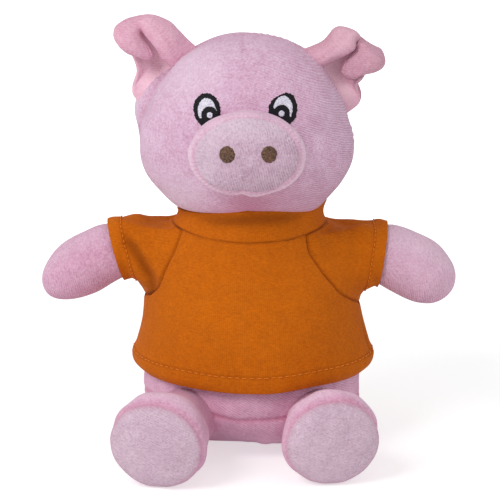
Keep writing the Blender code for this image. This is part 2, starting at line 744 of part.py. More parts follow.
def tail(material):
    """A thin stuffed tube that leaves the back and makes one curl round its own way out."""
    start = tail_start()
    turn = np.linspace(0, 1, TAIL_POINTS)
    curl = TAIL_CURL * np.clip(turn * 3, 0, 1)
    path = np.column_stack([
        curl * np.sin(2 * math.pi * turn),
        TAIL_REACH * turn,
        curl * (1 - np.cos(2 * math.pi * turn)),
    ]) + np.array(start)
    heading = np.gradient(path, axis=0)
    heading[0] = (0, 1, 0)
    heading /= np.linalg.norm(heading, axis=1, keepdims=True)
    side = np.cross(heading, (0, 0, 1))
    side /= np.linalg.norm(side, axis=1, keepdims=True)
    upright = np.cross(side, heading)
    angles = np.linspace(0, 2 * math.pi, 10, endpoint=False)
    taper = TAIL_RADIUS * (1 - (1 - TAIL_TIP_SHARE) * turn)
    taper[0] = TAIL_RADIUS * TAIL_ROOT_SHARE
    ring = np.cos(angles)[None, :, None] * side[:, None] + np.sin(angles)[None, :, None] * upright[:, None]
    return ring_body("tail", path[:, None] + taper[:, None, None] * ring, material)


def build():
    clear_scene()
    plush, jersey, fill = pink_plush(), orange_jersey(), polyester_fill()
    soles, black, white, brown = sole_plush(), black_thread(), white_thread(), brown_thread()

    neck_centre = Vector((0, 0, NECK_PIVOT_Z))
    recess = ball_cutter("neck_room", neck_centre, NECK_DOME + SWING_GAP, RECESS_SIDES)
    sockets = []
    for side, label in ((1, "left"), (-1, "right")):
        shoulder_room = SHOULDER_BALL + SWING_GAP
        hip_room = HIP_BALL + SWING_GAP
        sockets.append(ball_cutter(f"shoulder_room_{label}", shoulder(side), shoulder_room, SOCKET_SIDES))
        sockets.append(ball_cutter(f"hip_room_{label}", hip(side), hip_room, SOCKET_SIDES))

    trunk = torso_panels(plush) + [torso_fill(fill)] + shirt_panels(jersey)
    for piece in trunk:
        for socket in sockets:
            change(piece, socket)
    collar(jersey)
    ring_body("pellet_pouch", pouch_rings(0.0), pellet_bag())
    hang([tail(plush)], pivot("tail_pivot", tail_start()))
    hang([neck_fill(fill)], pivot("neck_pivot", neck_centre))

    head_room = as_cutter(head_form("head_room", -GAP))
    face_over = as_cutter(head_form("face_over", -GAP - THREAD))
    snout_room = as_cutter(snout_form("snout_room", GAP))
    snout_over = as_cutter(snout_form("snout_over", GAP + THREAD))
    head = [head_panel("face_panel", -1, plush, recess), head_panel("head_back_panel", 1, plush, recess)]
    head += [head_fill(fill, recess), snout_band(plush, head_room), snout_pad(soles), snout_fill(fill, head_room)]
    for side, label in ((1, "left"), (-1, "right")):
        head += eye(side, label, black, white, face_over, head_room, snout_room)
        head.append(nostril(side, label, brown, snout_over, snout_room))
    hang(head, pivot("head_pivot", neck_centre))

    for side, label in ((1, "left"), (-1, "right")):
        hang(arm(side, label, plush, fill) + [sleeve(side, label, jersey)], pivot(f"shoulder_{label}", shoulder(side)))
        hang(leg(side, label, plush, soles, fill), pivot(f"hip_{label}", hip(side)))
        base = Vector(ear_base(EAR_BASE_START_DEG) + ear_base(EAR_BASE_END_DEG)) / 2
        base.x *= side
        hang(ear_panels(side, label, plush), pivot(f"ear_{label}", base))


build()
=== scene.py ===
"""A sitting plush pig in an orange knitted shirt: its looks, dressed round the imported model.

Metres, +Z up. The pig faces -Y and its own left arm points to +X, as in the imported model. Tables
of places are in millimetres. Every cloth piece is a closed surface worked out on a grid.
"""

import json
import math

import bpy
import numpy as np
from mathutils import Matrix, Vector


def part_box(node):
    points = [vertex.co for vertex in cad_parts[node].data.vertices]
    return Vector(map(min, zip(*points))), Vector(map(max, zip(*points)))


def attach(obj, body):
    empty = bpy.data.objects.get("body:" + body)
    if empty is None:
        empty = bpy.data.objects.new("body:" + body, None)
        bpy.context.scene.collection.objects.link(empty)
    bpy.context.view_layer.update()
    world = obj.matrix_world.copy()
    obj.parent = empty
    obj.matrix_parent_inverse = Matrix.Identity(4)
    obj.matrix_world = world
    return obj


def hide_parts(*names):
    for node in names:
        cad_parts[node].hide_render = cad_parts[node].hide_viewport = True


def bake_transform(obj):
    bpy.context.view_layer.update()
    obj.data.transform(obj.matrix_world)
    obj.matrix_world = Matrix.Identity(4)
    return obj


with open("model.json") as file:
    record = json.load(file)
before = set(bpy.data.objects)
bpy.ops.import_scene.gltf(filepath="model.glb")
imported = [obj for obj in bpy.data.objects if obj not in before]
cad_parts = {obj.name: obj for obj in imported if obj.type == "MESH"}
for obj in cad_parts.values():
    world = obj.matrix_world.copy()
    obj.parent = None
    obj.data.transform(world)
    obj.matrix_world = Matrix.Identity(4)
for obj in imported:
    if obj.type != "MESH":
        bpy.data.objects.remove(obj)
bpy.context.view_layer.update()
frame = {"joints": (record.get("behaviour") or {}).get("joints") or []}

# Studio
# The pig sits on a white table in front of white paper. A broad lamp stands in front on the left
# of the picture, a weaker one on the right, and the paper throws light back from all round.
camera_distance = 0.95
camera_height_deg = 13
camera_lens, camera_sensor = 165, 36
camera_aim_z = 0.0806
lamp_size = 0.7
lamps = {"key_lamp": ((-0.75, -0.85, 1.0), 8.5), "fill_lamp": ((0.95, -0.9, 0.5), 1.2)}
paper_light = 0.62
table_albedo = 0.70
table_lift = 0.53
table_fill_glow = 0.21
table_fade = (0.16, 0.6)
table_reach = 6.0
plain_white = (1, 1, 1, 1)


def node(tree, kind, inputs=None, **settings):
    """Add a shader node; each input is a value or the socket that feeds it."""
    made = tree.nodes.new(kind)
    for name, value in settings.items():
        setattr(made, name, value)
    for key, value in (inputs or {}).items():
        if isinstance(value, bpy.types.NodeSocket):
            tree.links.new(value, made.inputs[key])
        else:
            made.inputs[key].default_value = value
    return made


def arithmetic(tree, operation, first, second=0.0, third=0.0):
    """The socket of a Math node over up to three values or sockets."""
    inputs = {0: first, 1: second, 2: third} if operation == "MULTIPLY_ADD" else {0: first, 1: second}
    return node(tree, "ShaderNodeMath", inputs, operation=operation).outputs[0]


def dye(red, green, blue):
    """A colour as a screen shows it, 0 to 255, as the linear colour that a shader takes."""
    shown = np.array([red, green, blue]) / 255
    linear = np.where(shown <= 0.04045, shown / 12.92, ((shown + 0.055) / 1.055) ** 2.4)
    return (*linear.tolist(), 1.0)


def seen_directly(tree):
    """1 for what the camera sees straight or through a mirror or a glass, and 0 for thrown light."""
    path = node(tree, "ShaderNodeLightPath")
    straight = arithmetic(tree, "MAXIMUM", path.outputs["Is Camera Ray"], path.outputs["Is Glossy Ray"])
    return arithmetic(tree, "MAXIMUM", straight, path.outputs["Is Transmission Ray"])


def placed(name, data):
    """Put a camera, a lamp or a mesh into the scene as an object."""
    made = bpy.data.objects.new(name, data)
    bpy.context.scene.collection.objects.link(made)
    return made


camera_data = bpy.data.cameras.new("camera")
camera_data.lens = camera_lens
camera_data.sensor_width = camera_sensor
camera = placed("camera", camera_data)
camera_tilt = math.radians(camera_height_deg)
camera.location = (
    0,
    -camera_distance * math.cos(camera_tilt),
    camera_aim_z + camera_distance * math.sin(camera_tilt),
)
camera.rotation_euler = (math.pi / 2 - camera_tilt, 0, 0)
bpy.context.scene.camera = camera
bpy.context.scene.view_settings.view_transform = "Standard"

for lamp_name, (lamp_place, lamp_watts) in lamps.items():
    lamp_data = bpy.data.lights.new(lamp_name, "AREA")
    lamp_data.shape = "DISK"
    lamp_data.size = lamp_size
    lamp_data.energy = lamp_watts
    lamp = placed(lamp_name, lamp_data)
    lamp.location = lamp_place
    towards = Vector((0, 0, camera_aim_z)) - Vector(lamp_place)
    lamp.rotation_euler = towards.to_track_quat("-Z", "Y").to_euler()

world = bpy.data.worlds.new("white_paper")
world.use_nodes = True
paper = world.node_tree
paper.nodes.clear()
paper_strength = arithmetic(paper, "MULTIPLY_ADD", seen_directly(paper), 1 - paper_light, paper_light)
paper_shine = node(paper, "ShaderNodeBackground", {"Color": plain_white, "Strength": paper_strength})
node(paper, "ShaderNodeOutputWorld", {"Surface": paper_shine.outputs[0]})
bpy.context.scene.world = world

table_look = bpy.data.materials.new("white_table")
table_look.use_nodes = True
top = table_look.node_tree
top.nodes.clear()
top_matte = node(top, "ShaderNodeBsdfDiffuse", {"Color": (table_albedo, table_albedo, table_albedo, 1)})
top_place = node(top, "ShaderNodeTexCoord").outputs["Object"]
top_reach = node(top, "ShaderNodeVectorMath", {0: top_place}, operation="LENGTH").outputs["Value"]
top_far = node(
    top,
    "ShaderNodeMapRange",
    {"Value": top_reach, "From Min": table_fade[0], "From Max": table_fade[1], "To Min": table_lift},
).outputs[0]
# Far off the camera sees the table white. Thrown light sees it glow a little, a painted fill that lights the
# pig from below.
top_strength = node(top, "ShaderNodeMix", {0: seen_directly(top), 2: table_fill_glow, 3: top_far}).outputs[0]
top_glow = node(top, "ShaderNodeEmission", {"Color": plain_white, "Strength": top_strength})
top_both = node(top, "ShaderNodeAddShader", {0: top_matte.outputs[0], 1: top_glow.outputs[0]})
node(top, "ShaderNodeOutputMaterial", {"Surface": top_both.outputs[0]})
table_mesh = bpy.data.meshes.new("white_table")
table_corners = [(x * table_reach, y * table_reach, 0) for x, y in ((-1, -1), (1, -1), (1, 1), (-1, 1))]
table_mesh.from_pydata(table_corners, [], [(0, 1, 2, 3)])
table_mesh.materials.append(table_look)
table = placed("white_table", table_mesh)

# Body
# The trunk is sewn from a front, a back and a round seat panel of short pink velour, stuffed with
# polyester over a bag of pellets. The seat seam shows low on the belly, under the shirt.
trunk_half_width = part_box("body_seat_panel")[1].x
trunk_front = -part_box("body_panel_front")[0].y
trunk_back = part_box("body_panel_back")[1].y
trunk_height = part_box("body_panel_front")[1].z
trunk_level_shares = (0, 0.018, 0.06, 0.135, 0.225, 0.37, 0.53, 0.68, 0.82, 0.93, 1)
trunk_width_shares = (0.60, 0.76, 0.87, 0.935, 0.955, 0.945, 0.89, 0.81, 0.69, 0.585, 0.52)
trunk_front_shares = (0.16, 0.36, 0.68, 0.90, 0.99, 0.985, 0.95, 0.89, 0.80, 0.705, 0.65)
trunk_back_shares = (0.66, 0.78, 0.88, 0.95, 0.99, 0.975, 0.93, 0.89, 0.83, 0.775, 0.75)
trunk_shift = 0.0008
seam_width, seam_depth = 0.0009, 0.0006
seat_seam_z = 0.0186
seat_seam_spread = 0.018
seat_seam_climb = {"left": 0.0012, "right": 0.0030}
front_seam_x = 0.0006
gather_pitch, gather_depth, gather_reach = 0.0031, 0.00018, 0.004
trunk_round_z = 0.004
seam_shadow_width = 0.0012
lap_shadow_x, lap_shadow_width, lap_shadow_up = 0.017, 0.006, (0.02, 0.034)
tuck_rise = 0.0058
tuck_across, tuck_back, tuck_up = (-0.018, 0.008), (-0.026, -0.008), (0, 0.018)
pile_lumps = 0.00035
pile_per_metre = {"tufts": 1050.0, "sway": 170.0, "brushed": 240.0, "bruised": 42.0, "patches": 60.0}
pile_grain = 0.6
pink, pink_shade = dye(232, 189, 212), dye(206, 150, 178)
# Painted light: the crease pink is painted shade for creases and seams, the pale pink a painted highlight.
crease_shade_pink, highlight_pink = dye(196, 108, 136), dye(244, 226, 240)


def through(stations, values, at):
    """Read the smooth curve through the given values at any station (Hermite, centred slopes)."""
    stations = np.asarray(stations, float)
    values = np.asarray(values, float)
    slopes = np.gradient(values, stations, axis=0)
    step = np.clip(np.searchsorted(stations, at, side="right") - 1, 0, len(stations) - 2)
    run = stations[step + 1] - stations[step]
    share = (at - stations[step]) / run
    extra = (...,) + (None,) * (values.ndim - 1)
    run, share = run[extra], share[extra]
    start = (1 + 2 * share) * (1 - share) ** 2 * values[step] + share * (1 - share) ** 2 * run * slopes[step]
    end = share**2 * (3 - 2 * share) * values[step + 1] - share**2 * (1 - share) * run * slopes[step + 1]
    return start + end


def around(sides):
    """Evenly spaced angles, once round, from the pig's right side."""
    return np.linspace(-math.pi, math.pi, sides, endpoint=False)


def places(across, depth, up):
    """Points from their three coordinates, which may be arrays of any shapes that fit together."""
    return np.stack(np.broadcast_arrays(across, depth, up), -1)


def unit(vectors):
    """The same directions, each with a length of 1."""
    return vectors / np.maximum(np.linalg.norm(vectors, axis=-1, keepdims=True), 1e-12)


def lumps(points, size, seed):
    """A smooth random height: the sum of sine waves whose lengths are near the given size."""
    draw = np.random.default_rng(seed)
    heading = unit(draw.normal(size=(20, 3)))
    waves = heading * 2 * math.pi / size * draw.uniform(0.7, 1.4, (20, 1))
    return np.sin(points @ waves.T + draw.uniform(0, 2 * math.pi, 20)).sum(-1) / math.sqrt(20)


def outward(rings):
    """Unit vectors square to a ringed surface, pointing away from the rings' middles."""
    square = unit(np.cross(np.roll(rings, -1, 1) - np.roll(rings, 1, 1), np.gradient(rings, axis=0)))
    return square * np.sign((square * (rings - rings.mean(1, keepdims=True))).sum())


def groove(distance, width=seam_width):
    """1 on a seam's line, fading to 0 beside it as a bell curve."""
    return np.exp(-((distance / width) ** 2))


def near(value, low, high):
    """0 below the low value, 1 above the high one, and a smooth step between them."""
    share = np.clip((value - low) / (high - low), 0, 1)
    return share * share * (3 - 2 * share)


def fading(value, low, high):
    """1 below the low value, 0 above the high one, and a smooth step between them."""
    return 1 - near(value, low, high)


def skin(rings, tube=False):
    """Points and faces over rings. A tube's last ring meets its first; other forms end in poles."""
    rows, sides = rings.shape[:2]
    grid = np.arange(rows * sides).reshape(rows, sides)
    if tube:
        grid = np.vstack([grid, grid[:1]])
    here, there = grid[:-1], grid[1:]
    quads = np.stack([here, np.roll(here, -1, 1), np.roll(there, -1, 1), there], -1).reshape(-1, 4)
    points, faces = rings.reshape(-1, 3), quads.tolist()
    if not tube:
        points = np.vstack([points, rings[0].mean(0), rings[-1].mean(0)])
        first, last = np.full(sides, rows * sides), np.full(sides, rows * sides + 1)
        faces += np.stack([first, np.roll(grid[0], -1), grid[0]], -1).tolist()
        faces += np.stack([last, grid[-1], np.roll(grid[-1], -1)], -1).tolist()
    return points, faces


def sewn(name, points, faces, material, weave=None, tint=None):
    """Make a closed mesh object, faces outwards.

    Weave holds a cloth coordinate for each point. Tint is painted light for each point: above 0 a
    painted highlight makes it paler, and below 0 painted shade makes it deeper, as in a crease.
    """
    corners = np.array([face[:3] for face in faces])
    edge = points[corners]
    volume = np.einsum("ij,ij->i", edge[:, 0], np.cross(edge[:, 1], edge[:, 2])).sum()
    if volume < 0:
        faces = [face[::-1] for face in faces]
    mesh = bpy.data.meshes.new(name)
    mesh.from_pydata(points.tolist(), [], faces)
    mesh.shade_smooth()
    if weave is not None:
        layer = mesh.attributes.new("weave", "FLOAT_VECTOR", "POINT")
        layer.data.foreach_set("vector", weave.astype(np.float32).ravel())
    if tint is not None:
        painted_light_values = np.zeros(len(points), np.float32)
        painted_light_values[: tint.size] = tint.ravel()
        mesh.attributes.new("tint", "FLOAT", "POINT").data.foreach_set("value", painted_light_values)
    mesh.materials.append(material)
    return placed(name, mesh)


def vector_maths(tree, operation, first, second):
    """The outputs of a Vector Math node over two values or sockets."""
    return node(tree, "ShaderNodeVectorMath", {0: first, 1: second}, operation=operation).outputs


def noise(tree, place, scale, detail, roughness=0.5):
    """The socket of a noise at the given number of lumps per metre, about 0.5 in the middle."""
    inputs = {"Vector": place, "Scale": scale, "Detail": detail, "Roughness": roughness}
    return node(tree, "ShaderNodeTexNoise", inputs).outputs[0]


def clamped(tree, value):
    """The socket of a value held between 0 and 1."""
    return node(tree, "ShaderNodeClamp", {"Value": value}).outputs[0]


def mixed(tree, share, low, high):
    """The socket of a colour that goes from the low one, at a share of 0, to the high one at 1."""
    return node(tree, "ShaderNodeMix", {0: share, 6: low, 7: high}, data_type="RGBA").outputs[2]


def creased(tree, tint, colour, crease):
    """The colour, turning to the painted crease shade where the tint is below 0."""
    return mixed(tree, clamped(tree, arithmetic(tree, "MULTIPLY", tint, -1.0)), colour, crease)


def dull_cloth(name, roughness, specular, sheen=0.0, sheen_roughness=0.5, sheen_tint=plain_white):
    """A new material with its node tree and its shader, finished as cloth or thread."""
    material = bpy.data.materials.new(name)
    material.use_nodes = True
    shader = material.node_tree.nodes["Principled BSDF"]
    shader.inputs["Roughness"].default_value = roughness
    shader.inputs["Specular IOR Level"].default_value = specular
    shader.inputs["Sheen Weight"].default_value = sheen
    shader.inputs["Sheen Roughness"].default_value = sheen_roughness
    shader.inputs["Sheen Tint"].default_value = sheen_tint
    return material, material.node_tree, shader


def surfaced(tree, shader, colour, height, strength, distance):
    """Feed the shader its colour and, from a height map, its bumps."""
    relief = node(tree, "ShaderNodeBump", {"Strength": strength, "Distance": distance, "Height": height})
    tree.links.new(colour, shader.inputs["Base Color"])
    tree.links.new(relief.outputs[0], shader.inputs["Normal"])


def pile_group():
    """Short velour pile: tufts, the knitted ground's rows, brushed patches and broad bruises.

    The rows are a sine of the place along the given vector, 2 pi times the rows per metre, that
    noise bends a little. They show where the rake, read from the centre, lets them through.
    """
    group = bpy.data.node_groups.new("velour_pile", "ShaderNodeTree")
    sockets = {"Vector": "Vector", "Centre": "Vector", "Rake": "Vector", "Rows": "Vector", "Ribs": "Float"}
    for socket, kind in {**sockets, "Colour": "Color", "Shade": "Color"}.items():
        group.interface.new_socket(socket, in_out="INPUT", socket_type=f"NodeSocket{kind}")
    for socket, kind in {"Colour": "Color", "Height": "Float"}.items():
        group.interface.new_socket(socket, in_out="OUTPUT", socket_type=f"NodeSocket{kind}")
    given = node(group, "NodeGroupInput").outputs
    place = given["Vector"]
    offset = vector_maths(group, "SUBTRACT", place, given["Centre"])[0]
    along = vector_maths(group, "DOT_PRODUCT", place, given["Rows"])["Value"]
    tufts = noise(group, place, pile_per_metre["tufts"], 3.0, pile_grain)
    sway = noise(group, place, pile_per_metre["sway"], 2.0, pile_grain)
    sway = arithmetic(group, "MULTIPLY", sway, 9.0)
    wave = arithmetic(group, "SINE", arithmetic(group, "ADD", along, sway))
    rows = arithmetic(group, "SUBTRACT", arithmetic(group, "MULTIPLY_ADD", wave, 0.17, 0.5), 0.25)
    lines = arithmetic(group, "MULTIPLY_ADD", tufts, 0.5, rows)
    brushed = noise(group, place, pile_per_metre["brushed"], 3.0, pile_grain)
    bruised = noise(group, place, pile_per_metre["bruised"], 2.0, pile_grain)
    patches = noise(group, place, pile_per_metre["patches"], 1.0, pile_grain)
    patches = {"Value": patches, "From Min": 0.25, "From Max": 0.5}
    patchy = node(group, "ShaderNodeMapRange", patches).outputs[0]
    raked = vector_maths(group, "DOT_PRODUCT", offset, given["Rake"])["Value"]
    raked = arithmetic(group, "ADD", raked, given["Ribs"])
    ribbed = clamped(group, arithmetic(group, "MULTIPLY", raked, patchy))
    height = node(group, "ShaderNodeMix", {0: ribbed, 2: tufts, 3: lines}).outputs[0]
    light = arithmetic(group, "SUBTRACT", arithmetic(group, "MULTIPLY_ADD", height, 2.3, -0.65), 0.45)
    light = arithmetic(group, "SUBTRACT", arithmetic(group, "MULTIPLY_ADD", brushed, 0.9, light), 0.45)
    light = clamped(group, arithmetic(group, "MULTIPLY_ADD", bruised, 0.9, light))
    colour = mixed(group, light, given["Shade"], given["Colour"])
    raised = arithmetic(group, "MULTIPLY_ADD", brushed, 0.8, height)
    node(group, "NodeGroupOutput", {"Colour": colour, "Height": raised})
    return group


pile = pile_group()


def velour(
    name, colour, shade,
    centre=(0, 0, 0), rows=(0, 0, 7000), ribs=0.0, rake=(0, 0, 0), bump=0.5, highlight=highlight_pink,
):
    """Matte pink pile with a sheen, turning to painted crease shade where its tint is below 0 and to a
    painted highlight where it is above.
    """
    material, tree, shader = dull_cloth(name, 0.95, 0.08, 0.22, 0.4, (1.0, 0.88, 0.96, 1))
    place = node(tree, "ShaderNodeTexCoord").outputs["Object"]
    inputs = {"Vector": place, "Centre": centre, "Rake": rake, "Rows": rows, "Ribs": ribs}
    inputs.update({"Colour": colour, "Shade": shade})
    fabric = node(tree, "ShaderNodeGroup", inputs, node_tree=pile).outputs
    tint = node(tree, "ShaderNodeAttribute", attribute_name="tint").outputs["Fac"]
    colour_with_painted_light = creased(tree, tint, fabric["Colour"], crease_shade_pink)
    colour_with_painted_light = mixed(tree, clamped(tree, tint), colour_with_painted_light, highlight)
    surfaced(tree, shader, colour_with_painted_light, fabric["Height"], bump, 0.0009)
    return material


# Level ovals up the trunk: width times cosine, and the front's or the back's depth times sine.
trunk_stations = np.linspace(0, 1, len(trunk_level_shares))
trunk_level = through(trunk_stations, trunk_level_shares, np.linspace(0, 1, 220))[:, None]
trunk_angles = around(300)[None]
trunk_width = trunk_half_width * through(trunk_level_shares, trunk_width_shares, trunk_level)
trunk_depth = np.where(
    np.sin(trunk_angles) < 0,
    trunk_front * through(trunk_level_shares, trunk_front_shares, trunk_level),
    trunk_back * through(trunk_level_shares, trunk_back_shares, trunk_level),
)
trunk = places(
    trunk_shift + trunk_width * np.cos(trunk_angles),
    trunk_depth * np.sin(trunk_angles),
    trunk_level * trunk_height,
)
trunk_x, trunk_y, trunk_z = np.moveaxis(trunk, -1, 0)
off_middle = trunk_x * (trunk_y < 0) / seat_seam_spread
seat_climb = np.where(off_middle < 0, seat_seam_climb["right"], seat_seam_climb["left"])
off_seam = trunk_z - seat_seam_z - seat_climb * np.minimum(off_middle**2, 1.5)
gathers = np.sin(2 * math.pi * trunk_x / gather_pitch) * groove(off_seam, gather_reach)
trunk_relief = -seam_depth * groove(off_seam)
trunk_relief -= 0.3 * seam_depth * groove(trunk_x - front_seam_x) * (trunk_y < 0)
trunk_relief += gather_depth * gathers + pile_lumps * lumps(trunk, 0.014, 3)
trunk_relief *= near(trunk_z, 0.0, trunk_round_z)
trunk_tint = -0.45 * groove(off_seam, seam_shadow_width)
lap_shadow = groove(np.abs(trunk_x) - lap_shadow_x, lap_shadow_width)
trunk_tint -= 0.25 * lap_shadow * fading(trunk_z, *lap_shadow_up)
trunk += outward(trunk) * trunk_relief[..., None]
trunk_z += tuck_rise * fading(trunk_x, *tuck_across) * fading(trunk_y, *tuck_back) * fading(trunk_z, *tuck_up)
body_pink = velour("body_velour", pink, pink_shade, centre=(0, 0, 0.05), rows=(3500, 0, 6200), ribs=0.8)
body_skin = sewn("body_skin", *skin(trunk), body_pink, tint=trunk_tint)
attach(body_skin, "torso")
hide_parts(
    "body_panel_front", "body_panel_back", "body_seat_panel", "body_stuffing", "pellet_pouch"
)

# Neck
# Inside the neck band a wad of filling under pink velour carries the head. Its top is a dome, on
# which the head turns and nods, so it only shows when the head tips.
joint_place = {joint["name"]: np.array(joint["pos_m"]) for joint in frame["joints"]}
neck_place = joint_place["neck_turn"]
neck_low, neck_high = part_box("neck_stuffing")
neck_dome = neck_high.z - neck_place[2]
neck_radius = neck_high.x

neck_turns = np.linspace(math.asin(neck_radius / neck_dome), 0.02, 24)[:, None]
neck_angles = around(96)[None]
neck_top = places(
    neck_dome * np.sin(neck_turns) * np.cos(neck_angles),
    neck_dome * np.sin(neck_turns) * np.sin(neck_angles),
    neck_place[2] + neck_dome * np.cos(neck_turns),
)
neck_foot = neck_top[:1] * (1, 1, 0) + (0, 0, neck_low.z)
neck_plug = sewn("neck_plug", *skin(np.concatenate([neck_foot, neck_top])), body_pink)
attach(neck_plug, "neck")
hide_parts("neck_stuffing")

# Legs
# Each leg is a stubby velour tube, stuffed, that lies forward from the hip and is closed by a
# round sole of greyer velour. The tube is gathered a little where the sole is sewn in.
both_sides = ((1, "left"), (-1, "right"))
mm = 0.001
leg_radius = 0.0190
leg_root = 0.0105
leg_ball = 0.0129
leg_station_shares = (0.0, 0.16, 0.22, 0.33, 0.50, 0.68, 0.82, 0.94, 1.0)
leg_radius_shares = (0.66, 0.652, 0.665, 0.715, 0.82, 0.955, 1.02, 0.985, 0.915)
leg_gather_depth = 0.00016
leg_end_shade, leg_lap_shade, leg_instep_highlight = 0.30, 0.35, 0.30
sole_share = 0.975
sole_lower = 0.0004
sole_stand, sole_dome, sole_edge, sole_turn_in = 0.0001, 0.0030, 0.0018, 0.0008
sole_lean = math.tan(math.radians(10))
sole_squash, sole_drop = 0.07, 0.0010
foot_place = {"left": np.array((0.0325, -0.0662, 0.0194)), "right": np.array((-0.0370, -0.0702, 0.0192))}
sole_grey, sole_shade = dye(228, 202, 218), dye(201, 170, 189)


def limb_axes(along):
    """The limb's own direction, a level one square to it and the upright one square to both."""
    along = unit(along)
    level = unit(np.cross(along, (0, 0, 1)))
    return along, level, np.cross(level, along)


def limb_rings(root, along, distances, radii, sides, rise=0.0):
    """Round rings square to the limb's axis, with their middles moved up by the given rise."""
    along, level, upright = limb_axes(along)
    middle = root + distances[:, None] * along + np.reshape(rise, (-1, 1)) * upright
    angles = around(sides)
    circle = np.cos(angles)[:, None] * level + np.sin(angles)[:, None] * upright
    return middle[:, None] + radii[:, None, None] * circle


def resting(points):
    """Flatten what would sink into the table: heights below a millimetre ease in towards zero."""
    height = points[..., 2] / mm
    eased_up = np.where(height < 1, np.exp(np.minimum(height, 1) - 1), height)
    return np.concatenate([points[..., :2], eased_up[..., None] * mm], -1)


leg_pink = velour(
    "leg_velour", pink, pink_shade, centre=(0, 0, 0.02), rows=(2500, 0, 6600), ribs=0.2, bump=0.6
)
foot_grey = velour(
    "sole_velour", sole_grey, sole_shade, centre=(0, 0, 0.02), rows=(3000, 0, 6000), ribs=0.35, bump=0.9
)

for side, label in both_sides:
    hip = joint_place[f"hip_{label}"]
    reach = foot_place[label] - hip
    leg_length = np.linalg.norm(reach)
    leg_along, _, leg_upright = limb_axes(reach)
    root_at = np.linspace(-leg_root, 0, 12)[:-1]
    leg_at = np.linspace(0, 1, 110)
    leg_at = leg_at + 0.04 * np.sin(2 * math.pi * leg_at) / (2 * math.pi)
    distances = np.concatenate([root_at, leg_at * leg_length])
    tube_radii = leg_radius * through(leg_station_shares, leg_radius_shares, leg_at)
    radii = np.concatenate([np.sqrt(leg_ball**2 - root_at**2), tube_radii])
    leg = limb_rings(hip, reach, distances, radii, 220)
    toward = distances[:, None] / leg_length
    ring_angles = around(220)[None]
    gathers = np.sin(30 * ring_angles + 2.5 * np.sin(3 * ring_angles + side)) * near(toward, 0.80, 0.98)
    gathers = gathers * (0.35 + 0.65 * near(np.sin(2 * ring_angles + 1 - side), 0.0, 1.0))
    leg_relief = leg_gather_depth * gathers
    leg_relief = leg_relief + pile_lumps * lumps(leg, 0.013, 11 + side) * near(toward, 0.2, 0.5)
    leg += outward(leg) * leg_relief[..., None]
    foot_height = (leg - hip) @ leg_upright
    leg = leg + (foot_height * sole_lean * near(toward, 0.45, 1.0))[..., None] * leg_along
    lowered = (foot_height * sole_squash + sole_drop) * near(toward, 0.8, 1.0)
    leg = resting(leg - lowered[..., None] * leg_upright)
    # Painted shade near the sole and in the lap by the hip, and a painted highlight on top of the instep.
    leg_tint = -leg_end_shade * near(toward, 0.90, 1.0) - leg_lap_shade * fading(toward, 0.1, 0.45)
    instep = near(toward, 0.6, 0.8) * fading(toward, 0.85, 0.95) * near(np.sin(ring_angles), 0.2, 0.9)
    leg_tint = leg_tint + leg_instep_highlight * instep
    leg_skin = sewn(f"leg_skin_{label}_velour", *skin(leg), leg_pink, tint=leg_tint)
    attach(leg_skin, f"leg_{label}")
    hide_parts(f"leg_skin_{label}", f"leg_stuffing_{label}")

    rim = leg_radius * sole_share
    sole_shares = np.sin(np.linspace(0, 1, 60) * math.pi / 2)[::-1]
    front_bulge = sole_dome * (1 - sole_shares**2.2) + sole_edge * (1 - sole_shares**9)
    front_bulge = leg_length + sole_stand + front_bulge
    front = limb_rings(hip, reach, front_bulge, rim * sole_shares + 1e-5, 160)
    rear_shares = np.linspace(0.02, 0.95, 20)
    rear_bulge = leg_length - sole_turn_in * near(rear_shares, 0.5, 0.95)
    rear = limb_rings(hip, reach, rear_bulge, rim * rear_shares, 160)
    sole = np.concatenate([rear, front]) - (0, 0, sole_lower)
    sole_relief = pile_lumps * 0.8 * lumps(sole, 0.011, 21 + side)
    sole_relief[: len(rear)] = 0
    foot_height = (sole - hip) @ leg_upright
    sole = sole - (foot_height * sole_squash + sole_drop)[..., None] * leg_upright
    sole_rim = np.concatenate([np.ones(len(rear)), sole_shares])[:, None]
    # Painted shade round the sole's rim, where it meets the tube.
    sole_tint = -0.25 * groove(sole_rim - 1.0, 0.05) + 0 * foot_height
    sole = resting(sole + leg_along * (sole_relief + foot_height * sole_lean)[..., None])
    sole_pad = sewn(f"leg_sole_{label}_velour", *skin(sole), foot_grey, tint=sole_tint)
    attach(sole_pad, f"leg_{label}")
    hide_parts(f"leg_sole_{label}")

# Tail
# A thin velour tube, lightly stuffed and pulled into one curl by its seam, sewn into the back.
tail_place = joint_place["tail_flop"]
tail_radius = 0.0027
tail_curl = 0.0044
tail_root, tail_reach = 0.0006, 0.015
tail_tip_share = 0.5

tail_turn = np.linspace(0, 1, 120)
tail_swing = tail_curl * np.clip(tail_turn * 3, 0, 1)
tail_line = tail_place + places(
    tail_swing * np.sin(2 * math.pi * tail_turn),
    tail_root + (tail_reach - tail_root) * tail_turn,
    tail_swing * (1 - np.cos(2 * math.pi * tail_turn)),
)
tail_heading = unit(np.gradient(tail_line, axis=0))
tail_side = unit(np.cross(tail_heading, (0, 0, 1)))
tail_up = np.cross(tail_side, tail_heading)
tail_radii = tail_radius * (1 - (1 - tail_tip_share) * tail_turn) * (1 - tail_turn**12) ** 0.5
tail_radii *= 0.4 + 0.6 * near(tail_turn, 0.0, 0.12)
tail_angles = around(32)[None, :, None]
tail_ring = np.cos(tail_angles) * tail_side[:, None] + np.sin(tail_angles) * tail_up[:, None]
tail_tube = tail_line[:, None] + tail_radii[:, None, None] * tail_ring
tail_skin = sewn("tail_velour", *skin(tail_tube), leg_pink)
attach(tail_skin, "tail")
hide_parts("tail")

